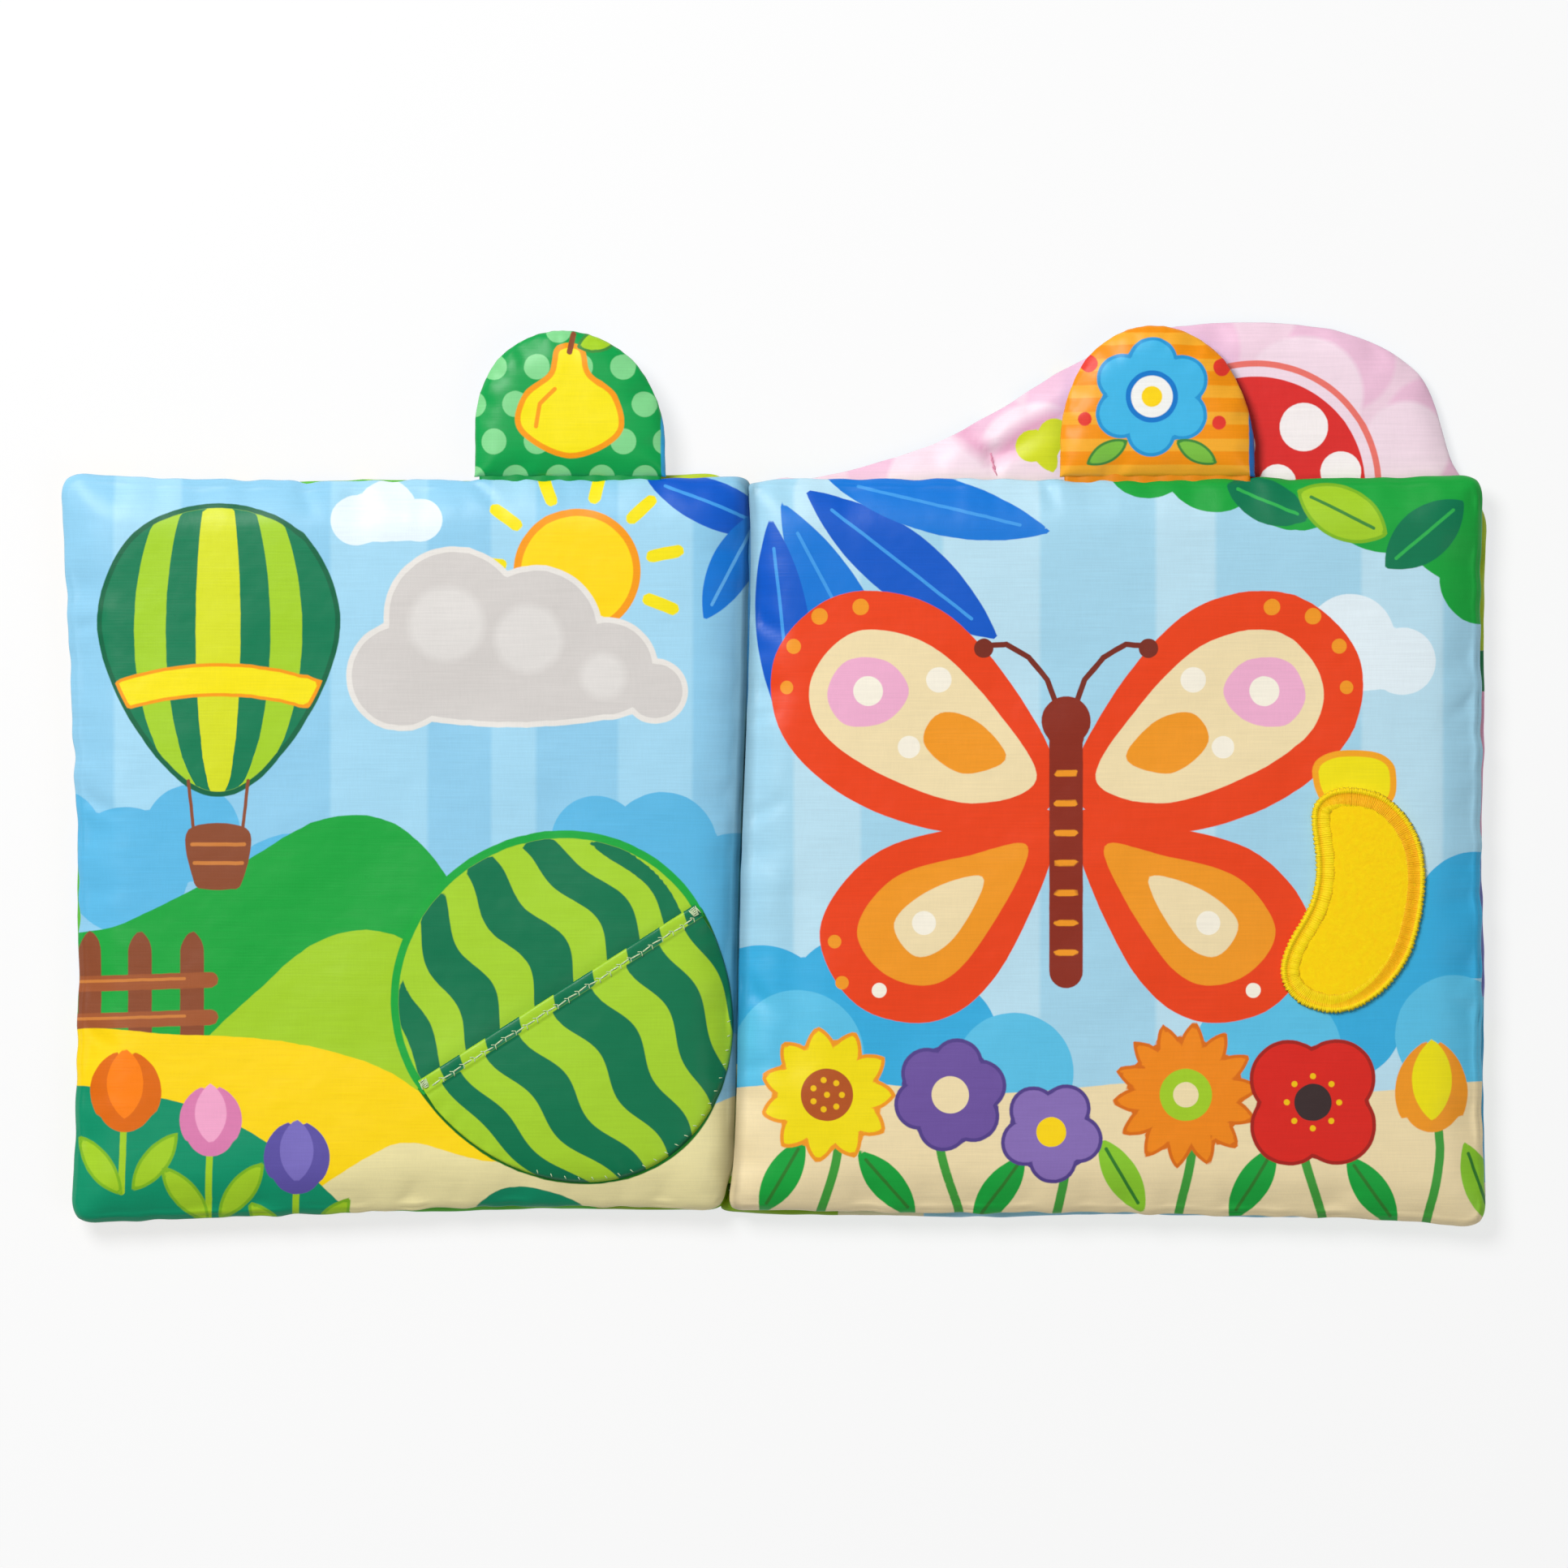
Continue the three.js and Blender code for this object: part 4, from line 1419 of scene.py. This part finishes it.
def veinedLeaf(p, x, y, length, width, turn, colour, line, edge=None):
    p.put(p.leaf(x, y, length, width, turn), colour, edge, 0.9)
    c, s = (0.36 * length * f(math.radians(turn)) for f in (math.cos, math.sin))
    p.fine(thinLine(0.9, (x - c, y - s), (x + c, y + s)), line)


def flower(p, spots, petal, colour, edge):
    p.put(p.discs(*((x, y, petal) for x, y, turn in spots)), colour, edge, 1.0)


def printLeftPage(p):
    for x, width in ((-160, 18), (-98, 26), (-62, 12), (-24, 20)):
        p.put(p.bar(x, 30, 170, width, 90), "A3D7F0", soft=1.2)
    p.put(p.discs((-166, -6, 17), (-148, 4, 13), (-186, 2, 14), (-120, -18, 22), (-98, -12, 15)), "5BB8E4")
    # far hills
    p.put(p.discs((-22, 0, 15), (-2, -12, 16), (6, -36, 16), (-40, 2, 12)), "5BB8E4")
    near = ((-190, -30), (-166, -20), (-138, -6), (-112, 8), (-90, 4), (-72, -24), (-60, -80), (-190, -80))
    p.put(p.blob(*near), "12A53C")
    p.put(p.blob((-150, -70), (-126, -34), (-104, -22), (-84, -30), (-66, -60), (-70, -96)), "A5D024")
    # balloon
    middle = -141
    x = p.x - middle
    half = ((0, 92), (22, 84), (32, 62), (25, 38), (8, 17))
    body = p.blob(*((middle - x, y) for x, y in half), *((middle + x, y) for x, y in half[:0:-1]))
    p.rings(body, [(0.7, "00633F"), (-0.7, "007A50")])
    for wide, tint in ((22.5, "A5D024"), (14, "007A50"), (6, "D6DE1E")):
        across = x / np.sqrt(np.clip(1 - ((p.y - 58) / 46) ** 2, 0.05, 1))
        p.put(common(body + 0.7, np.abs(across) - wide), tint)
    p.put(common(body + 0.7, np.abs(p.y - 45 + 0.006 * x**2) - 4), "F6E400", "F79A00", 0.9)
    for side in (-1, 1):
        p.fine(thinLine(0.9, (middle + side * 8, 18), (middle + side * 6.5, 4)), "8C4A2B")
    p.put(p.blob((-149, 5), (-133, 5), (-134.5, -9), (-138, -11), (-144, -11), (-147.5, -9)), "8C4A2B")
    p.fine(thinLine(1.0, (-148, 1), (-134, 1)), "D0803A")
    p.fine(thinLine(1.0, (-147.4, -4), (-134.6, -4)), "D0803A")
    # sun and cloud
    p.put(union(*(p.bar(x, y, 7, 3.4, turn) for x, y, turn in ring(-45, 74, 24, 11, 0.2))), "F6E400")
    p.put(p.disc(-45, 74, 16), "FFD800", "F79A00", 2)
    cloud = [(-92, 46, 14), (-78, 62, 18), (-56, 58, 17), (-37, 48, 13), (-24, 42, 8), (-62, 43, 40, 10)]
    p.put(p.discs(*cloud), "D3CECA", "E8E4DE", 1.5)
    p.put(p.discs((-80, 60, 10), (-58, 56, 9), (-38, 46, 6)), "DFDBD7", soft=2.5)
    p.put(p.discs((-104, 88, 7), (-96, 91, 8), (-87, 88, 6), (-96, 86, 14, 4)), "E6F3F9")
    # leaves that hang in from the gutter
    veinedLeaf(p, -8, 92, 40, 13, 158, "0059C8", "3E9BE8")
    veinedLeaf(p, -3, 76, 34, 12, -118, "0A78D8", "5FB0F0")
    # fence
    for x in (-176, -162, -148):
        p.put(union(p.bar(x, -42, 26, 6.4, 90), p.leaf(x, -28, 12, 6.4, 90)), "8C4A2B")
    for y in (-36, -46):
        p.put(p.bar(-165, y, 44, 4.2, 2), "A3582F")
        p.fine(thinLine(0.8, (-184, y), (-150, y + 1.1)), "D0803A")
    # path and foreground
    p.put(p.blob((-190, -54), (-150, -50), (-112, -54), (-84, -68), (-50, -110), (-190, -110)), "FFD800")
    p.put(p.blob((-120, -110), (-96, -80), (-66, -84), (-30, -78), (10, -66), (16, -110)), "EFE3A8")
    p.put(p.blob((-190, -68), (-162, -66), (-136, -74), (-112, -92), (-104, -112), (-190, -112)), "009268")
    p.put(p.blob((-80, -112), (-66, -92), (-44, -96), (-30, -112)), "00875F")
    for x, y, size, colour, edge in (
        (-166, -66, 1.0, "FF8200", "E06A00"),
        (-143, -74, 0.85, "F5A8CC", "DE7FB0"),
        (-120, -84, 0.9, "7B6FC0", "5D52A4"),
    ):
        p.fine(thinLine(1.8, (x, y), (x - 1, y - 26)), "A5D024")
        blades = [p.leaf(x - 7, y - 19, 19, 6.5, -52), p.leaf(x + 8, y - 18, 19, 6.5, 52)]
        p.put(union(*blades), "A5D024", "7FB81E", 0.8)
        sides = [p.leaf(x - k * 5 * size, y + 3, 18 * size, 9 * size, k * 72) for k in (1, -1)]
        p.put(union(*sides, p.disc(x, y - 2.5 * size, 7.5 * size)), edge)
        p.put(p.leaf(x, y + 3, 19 * size, 10 * size, 90), colour)
    across, along = melonAxes(p.at)
    wide, turn = pocket["halfWidth"], math.degrees(pocket["turn"])
    fruit = p.disc(*pocket["mouth"], wide, pocket["printedDepth"], turn)
    shadow = p.disc(*pocket["mouth"], wide + 0.6, pocket["depth"] + 0.8, turn)
    p.put(common(shadow, 1 - along), "006A10")
    p.put(common(fruit - 0.4, along - 4), "12A83C")
    p.put(common(fruit + 1.7, along - 4), "A8D42C")
    p.put(common(fruit + 1.7, along - 4, melonStripes(across, along, -2.2)), "00754C")


def printRightPage(p):
    for x, width in ((22, 18), (66, 26), (118, 16), (176, 22)):
        p.put(p.bar(x, 10, 170, width, 90), "BCE1F1", soft=1.2)
    bushes = ((4, -46, 20), (28, -40, 16), (50, -52, 18), (178, -30, 17), (196, -18, 17), (160, -46, 16))
    p.put(p.discs(*bushes), "35AEE0")
    p.put(p.discs((14, -56, 18), (140, -56, 20), (190, -50, 16), (72, -60, 16)), "5BC2E8")
    p.put(p.discs((150, 52, 9), (162, 56, 12), (176, 50, 9), (163, 48, 18, 6)), "E6F3F9")
    for leaf in (
        (26, 62, 70, 17, -62, "0A78D8"), (10, 58, 62, 15, -84, "0059C8"),
        (42, 76, 66, 18, -38, "0059C8"), (52, 92, 62, 16, -14, "0A78D8"),
    ):
        veinedLeaf(p, *leaf, "3E9BE8")
    tree = ((196, 92, 22), (172, 98, 19), (148, 102, 17), (126, 104, 14), (108, 106, 12), (198, 72, 12))
    p.put(p.discs(*tree), "12A53C")
    veinedLeaf(p, 182, 84, 28, 14, 40, "00794F", "2FB552")
    veinedLeaf(p, 140, 93, 24, 12, -24, "00794F", "2FB552")
    veinedLeaf(p, 160, 90, 26, 14, 152, "A5D024", "3E8A3A", "7FB81E")
    p.put(-p.above(-64, 1.5, 90), "F3DFB0")
    middle = 86

    def wings(*points):
        return union(p.blob(*points), p.blob(*((2 * middle - x, y) for x, y in points)))

    def both(*spots):
        return smallDiscs(*(spot for x, y, r in spots for spot in ((x, y, r), (2 * middle - x, y, r))))

    upper = wings((84, 14), (74, 40), (52, 64), (26, 68), (8, 52), (10, 30), (30, 12), (60, 4))
    lower = wings((84, 8), (60, 6), (34, -2), (20, -22), (30, -42), (52, -46), (70, -30))
    p.put(lower, "EE4210")
    p.put(wings((76, 0), (60, -2), (40, -8), (30, -22), (38, -34), (52, -36), (64, -24)), "F59A1E")
    p.put(wings((64, -8), (50, -11), (40, -20), (46, -29), (56, -24)), "F3DFB0")
    p.put(upper, "EE4210")
    p.put(wings((78, 18), (68, 36), (50, 54), (30, 58), (18, 46), (20, 32), (36, 20), (60, 12)), "F4E0B0")
    p.put(wings((38, 50), (27, 50), (22, 41), (27, 33), (38, 34), (44, 42)), "F2B0D0")
    p.put(wings((70, 24), (62, 34), (52, 36), (48, 28), (58, 20)), "F59A1E")
    p.fine(both((33, 42, 4), (52, 45, 3.4), (44, 27, 3), (48, -20, 3.2), (36, -38, 2)), "FBF4E2")
    edgeDots = ((13, 54, 2), (20, 62, 2.2), (31, 64.5, 2.2), (11, 43, 1.8), (26, -36, 1.8), (24, -25, 1.8))
    p.fine(both(*edgeDots), "F59A1E")
    feeler = thinLine(1.5, (1, 34), (5, 45), (10, 51), (16, 54.5), (22, 54))
    p.fine(lambda finish, at: feeler(finish, finish.mirrored(at, middle)), "7A2A1A")
    p.fine(both((middle - 22, 53.4, 2.6)), "7A2A1A")
    p.put(union(p.bar(middle, -2, 62, 9, 90), p.disc(middle, 34, 6.6)), "8C2A16")
    p.put(union(*(p.bar(middle, y, 5, 1.7) for y in (-28, -20, -12, -4, 4, 12, 20))), "F59A1E")
    # flowers along the ground
    stems = ((22, -62, 3), (55, -60, -3), (84, -66, 2), (118, -60, 2), (152, -60, -3), (184, -64, 2))
    for x, y, bend in stems:
        p.put(p.stroke(2.4, (x, y), (x + bend, y - 18), (x - bend, y - 40)), "3FA03A")
    for x, y, turn, tint in (
        (10, -88, 60, "12A53C"), (38, -90, 130, "12A53C"), (68, -92, 55, "12A53C"), (101, -88, 120, "8CCB2C"),
        (136, -90, 60, "12A53C"), (168, -92, 125, "12A53C"), (197, -90, 110, "8CCB2C"),
    ):
        veinedLeaf(p, x, y, 24, 9, turn, tint, "2F7D2A")
    p.put(petals(p, ring(22, -66, 10.5, 11), 15, 8), "F6E000", "F59A1E", 1.0)
    p.fine(smallDiscs((22, -66, 7)), "B5541C")
    p.fine(seeds([*ring(22, -66, 4, 7), (22, -66, 0)]), "F6C400")
    flower(p, ring(55, -66, 8.5, 6, 0.3), 6.4, "6E53A0", "54408A")
    p.fine(smallDiscs((55, -66, 5)), "F4E0B0")
    flower(p, ring(82, -76, 7.5, 5, 1.0), 6, "8A70B8", "54408A")
    p.fine(smallDiscs((82, -76, 4)), "FFD800")
    p.put(petals(p, ring(118, -66, 11, 14, 0.1), 17, 6.5), "F58A10", "DE6E08", 0.9)
    p.fine(smallDiscs((118, -66, 7)), "A5D024")
    p.fine(smallDiscs((118, -66, 3.4)), "F4E0B0")
    flower(p, ring(152, -68, 9, 4, 0.8), 10, "DE2418", "A81E14")
    p.fine(smallDiscs((152, -68, 5)), "3A2A2A")
    p.fine(seeds(ring(152, -68, 7, 8)), "F6C400")
    p.put(union(p.leaf(179, -62, 22, 9, 72), p.leaf(189, -62, 22, 9, -72), p.disc(184, -68, 8)), "F59A1E")
    p.put(p.leaf(184, -62, 22, 11, 90), "F2E400")
    cap = ((152.6, 20.6), (156, 24.4), (163, 25.4), (170.4, 24.2), (173.4, 20), (171.4, 12), (156.4, 12))
    p.put(p.blob(*cap), "F5E400", "F9A81A", 1.7)


def printLeftTab(p):
    p.put(p.dots(11.6, 3.5, 0, (-50, 119)), "80D48C")
    pear = (
        (-60, 112), (-59, 121), (-52, 127), (-50, 134), (-44, 134), (-42, 127), (-35, 121), (-34, 111),
        (-47, 105),
    )
    p.put(p.blob(*pear), "F6E400", "F79A00", 1.5)
    p.fine(thinLine(1.1, (-56, 113), (-55, 119), (-51, 123)), "F79A00")
    p.put(p.leaf(-39, 136.5, 12, 6, 20), "A5D024", "3E8A3A", 0.8)
    p.fine(thinLine(1.5, (-47, 133), (-46, 138)), "8C4A2B")
    p.put(-22.3 - p.x, "2FA8DC")


def printRightTab(p):
    p.put(p.stripes(7.2, 3.4), "F9AE2A")
    flower(p, ring(109, 121, 9.5, 6, 0.5), 6.2, "3FB8E8", "1F96D4")
    p.rings(p.disc(109, 121, 7), [(0, "0078CC"), (-1.4, "F6F6F2"), (-4.2, "FFD800")])
    p.put(union(p.leaf(121, 106, 12, 5, 150), p.leaf(97, 106, 12, 5, 30)), "7CC242", "3E8A3A", 0.7)
    p.put(p.discs((128, 129, 2.4), (92, 130, 2.4), (127, 114, 1.9), (91, 115, 1.9)), "E8382A")
    p.put(135.4 - p.x, "2470C0")


def printBackCover(p):
    for disc in (
        (40, 104, 13), (64, 108, 15), (92, 118, 17), (118, 134, 15), (160, 132, 15), (186, 112, 15),
        (176, 98, 12),
    ):
        p.put(p.disc(*disc), "F0C2DA", soft=1.4)
    scallops = ((52, 98, 14), (78, 104, 16), (104, 110, 18), (150, 122, 16), (178, 108, 12))
    p.put(p.discs(*scallops), "F7DEEA", soft=1.4)
    # painted shade: a soft darker pink along the creases beside the tuck
    p.put(union(p.leaf(76, 111, 26, 7, 34), p.leaf(61, 110, 18, 5, 136)), "E6A9C6", soft=4.0)
    p.rings(p.disc(137, 97, 34), [(0, "F0756A"), (-1.7, "F6DCE8"), (-4.4, "E02B28")])
    p.put(p.discs((131, 108, 6), (150, 113, 6.5), (143, 98, 5), (160, 101, 5.5), (120, 115, 5)), "FBF3F2")
    p.put(union(p.disc(77, 108, 4.4), p.disc(83, 111, 4.4), p.leaf(80.5, 106, 12, 6, -62)), "D6DE1E")
    # the edges that show beside the right page and at its foot
    for low, high, colour in (
        (53, 99, "B4CC28"), (42, 53, "0B7A48"), (3, 42, "F0A8CC"), (-40, 3, "7B7CC8"), (-90, -40, "3FA8DC")
    ):
        p.put(common(193 - p.x, between(p.y, low, high)), colour)
    for low, high, colour in ((-12, 25, "8CB41C"), (25, 48, "EFE3B8"), (48, 190, "9CD2EC")):
        p.put(common(p.y + 91, between(p.x, low, high)), colour)


def printFrontCover(p):
    p.put(p.dots(20, 5), "9ED83C")
    p.put(common(88 - p.y, -60 - p.x), "B8D02C")
    p.put(common(p.y + 90, -40 - p.x), "8CB41C")


def printOutside(p):
    p.put(-p.above(-48, 7, 66), "8CCB3C")
    p.put(-p.above(-66, 6, 48), "3FA845")
    p.put(common(p.dots(34, 4.4), p.above(-34)), "F7F4E4")
    p.put(common(p.dots(34, 3.0, 0, (17, 10)), p.above(-34)), "FFD840")


def printLeftBack(p):
    p.rings(p.dots(26, 7), [(0, "FFE08A"), (-3.8, "F08A24")])


def printRightBack(p):
    p.rings(p.dots(26, 7), [(0, "B7E07A"), (-3.8, "2F9A3A")])


def printSpeckles(p):
    p.put(p.dots(5.2, 1.0, 20), "F2F6FA")


def printPocket(p):
    across, along = melonAxes(p.at)
    hem = along - pocket["hemWidth"] + 0.6
    p.put(common(melonStripes(across, along, 2.6), -hem), "00754C")
    p.put(common(melonStripes(across, along, 4.0), hem), "00754C")


def printGutter(p):
    p.put(-p.above(-58), "E2D9A0")
    p.put(-p.above(-88), "8CB41C")


def wear(piece, name, base, draw, tag="face"):
    picture = Print(piece, tag)
    draw(picture)
    piece.data.materials.append(printedCloth(name, base, picture.layers))


for pad, draw, base, drawBack, backBase in (
    (frontCover, printFrontCover, "5FBF3F", printOutside, "2F9BD8"),
    (backCover, printBackCover, "F3D3E2", printOutside, "2F9BD8"),
    (leftPage, printLeftPage, "8FCBEA", printLeftBack, "F3C53A"),
    (rightPage, printRightPage, "A5D6EC", printRightBack, "7AC143"),
    (leftTab, printLeftTab, "00A04A", printSpeckles, "2FA8DC"),
    (rightTab, printRightTab, "F79400", printSpeckles, "2470C0"),
):
    wear(pad, pad.name + "Face", base, draw)
    wear(pad, pad.name + "Back", backBase, drawBack, "back")
wear(fruitPocket, "fruitPocketCloth", "A8D42C", printPocket)
wear(leftGutter, "leftGutterBlue", "3A94D2", printGutter)
wear(rightGutter, "rightGutterBlue", "3A94D2", printGutter)
for piece, name, base in (
    (outerSpine, "spineBlue", "2F9BD8"),
    (innerSpine, "spineGreen", "7FB02A"),
    # the tab roots are the tabs' colours made darker, as painted shade where they are caught in the seam
    (leftRoot, "tabRootGreenPaintedShade", "009244"),
    (rightRoot, "tabRootOrangePaintedShade", "E48800"),
):
    piece.data.materials.append(printedCloth(name, base))


def plushFelt():
    finish = Finish("plushFelt")
    place = finish.place()
    pile = finish.noise(place, 1500, 3, 0.7)
    specks = finish.noise(place, 620, 2, 0.6)
    clouds = finish.noise(place, 130, 2)
    colour = finish.mixed((specks * 1.6 - 0.35).clamped(), ink("FFCB00"), ink("FFDF00"))
    colour = finish.mixed((clouds * 0.6).clamped(), colour, ink("FFD900"))
    colour = finish.mixed(1.0, colour, 0.92 + pile * 0.2, "MULTIPLY")
    return finish.surface(
        Base_Color=colour,
        Roughness=0.88,
        Sheen_Weight=0.12,
        Sheen_Roughness=0.6,
        Specular_IOR_Level=0.12,
        Normal=finish.bump(pile * 0.5 + specks, 0.7, 0.00018),
    )


def satinBorder():
    # dense stitches across the border, with a bare channel of plush, wide on the upper right
    finish = Finish("satinBorder")
    place = finish.place()
    inset, run, bare = finish.attribute("inset"), finish.attribute("run"), finish.attribute("bare")
    fibres = finish.noise(finish.point(run * 2.4, inset * 0.35), 1.0, 2)
    pile = finish.noise(place, 1400, 2, 0.6)
    rows = finish.maths("SINE", run * 11.5 + pile * 2, 0)
    inner = 2.5 + bare * 2.4  # where the channel ends
    channel = ((inset - 1.35) * 4).clamped() * ((inner - inset) * 3).clamped()
    colour = finish.mixed((fibres * 1.5 - 0.3).clamped(), ink("FFD000"), ink("FFEA00"))
    orange = finish.mixed((pile * 1.4 - 0.2).clamped(), ink("FFAC00"), ink("FFC60A"))
    colour = finish.mixed(channel * (0.45 + bare * 0.55), colour, orange)
    furrow = finish.maths("ABSOLUTE", inset - 5.1, 0)
    outer = finish.maths("ABSOLUTE", inset - 1.6, 0)
    lines = ((0.6 - furrow) * 2).clamped() * (1.1 - bare) + ((0.3 - outer) * 2).clamped() * 0.35
    colour = finish.mixed((lines * 0.6).clamped(), colour, ink("EEAE00"))
    # painted shadow: dark olive ticks round the outer edge, where the border meets the page
    paintedEdgeShadow = ((0.3 - inset) * 3).clamped() * (fibres * 2.4 - 0.8).clamped()
    colour = finish.mixed(paintedEdgeShadow, colour, ink("9A8410"))
    return finish.surface(
        Base_Color=colour,
        Roughness=0.6,
        Sheen_Weight=0.1,
        Sheen_Roughness=0.45,
        Specular_IOR_Level=0.22,
        Normal=finish.bump(rows * 0.3 + fibres * 0.8 + pile * 0.5, 0.8, 0.00016),
    )


def sewingThread(name, light, dark):
    finish = Finish(name)
    place = finish.place()
    twist = finish.strands(place, (2600, 900, 900), 2, turn=0.6)
    colour = finish.mixed((twist * 1.5 - 0.25).clamped(), ink(dark), ink(light))
    normal = finish.bump(twist, 0.8, 0.00008)
    return finish.surface(Base_Color=colour, Roughness=0.45, Sheen_Weight=0.2, Normal=normal)


def crumpledFilm():
    finish = Finish("crumpledFilm")
    place = finish.place()
    sockets = {"Vector": place, "Scale": 90.0}
    folds = finish.node("ShaderNodeTexVoronoi", {"feature": "DISTANCE_TO_EDGE"}, sockets)
    fine = finish.noise(place, 420, 3)
    colour = finish.mixed(fine, ink("DCE2E6"), ink("F2F5F7"))
    normal = finish.bump(folds * 2 + fine * 0.3, 0.7, 0.0006)
    return finish.surface(Base_Color=colour, Roughness=0.18 + fine * 0.15, Normal=normal)


def looseBatting():
    finish = Finish("looseBatting")
    place = finish.place()
    fibres = finish.strands(place, (900, 260, 900), 4, 0.7, 0.4)
    tufts = finish.noise(place, 120, 2)
    colour = finish.mixed((fibres + tufts * 0.4 - 0.2).clamped(), ink("E6E3DD"), ink("FAF9F6"))
    normal = finish.bump(fibres + tufts, 0.9, 0.0008)
    return finish.surface(Base_Color=colour, Roughness=0.92, Sheen_Weight=0.3, Normal=normal)


print("finishes")
felt, paleThread = plushFelt(), sewingThread("paleThread", "E4F0C8", "9FBE86")
for piece, finish in (
    (bananaFelt, felt),  # its upper cloth
    (bananaFelt, felt),  # its lower cloth
    (bananaBorder, satinBorder()),
    (hemThread, paleThread),
    (tackLeft, paleThread),
    (tackRight, paleThread),
    (spineStitches, paleThread),
    (archTack, sewingThread("pinkThread", "F7B4CC", "C9688E")),
):
    piece.data.materials.append(finish)
film, batting = crumpledFilm(), looseBatting()
for name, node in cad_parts.items():
    inner = film if name.endswith("_film") else batting if name.endswith("_batting") else None
    if inner:
        for held in node.material_slots:
            held.material = inner

print("finished")
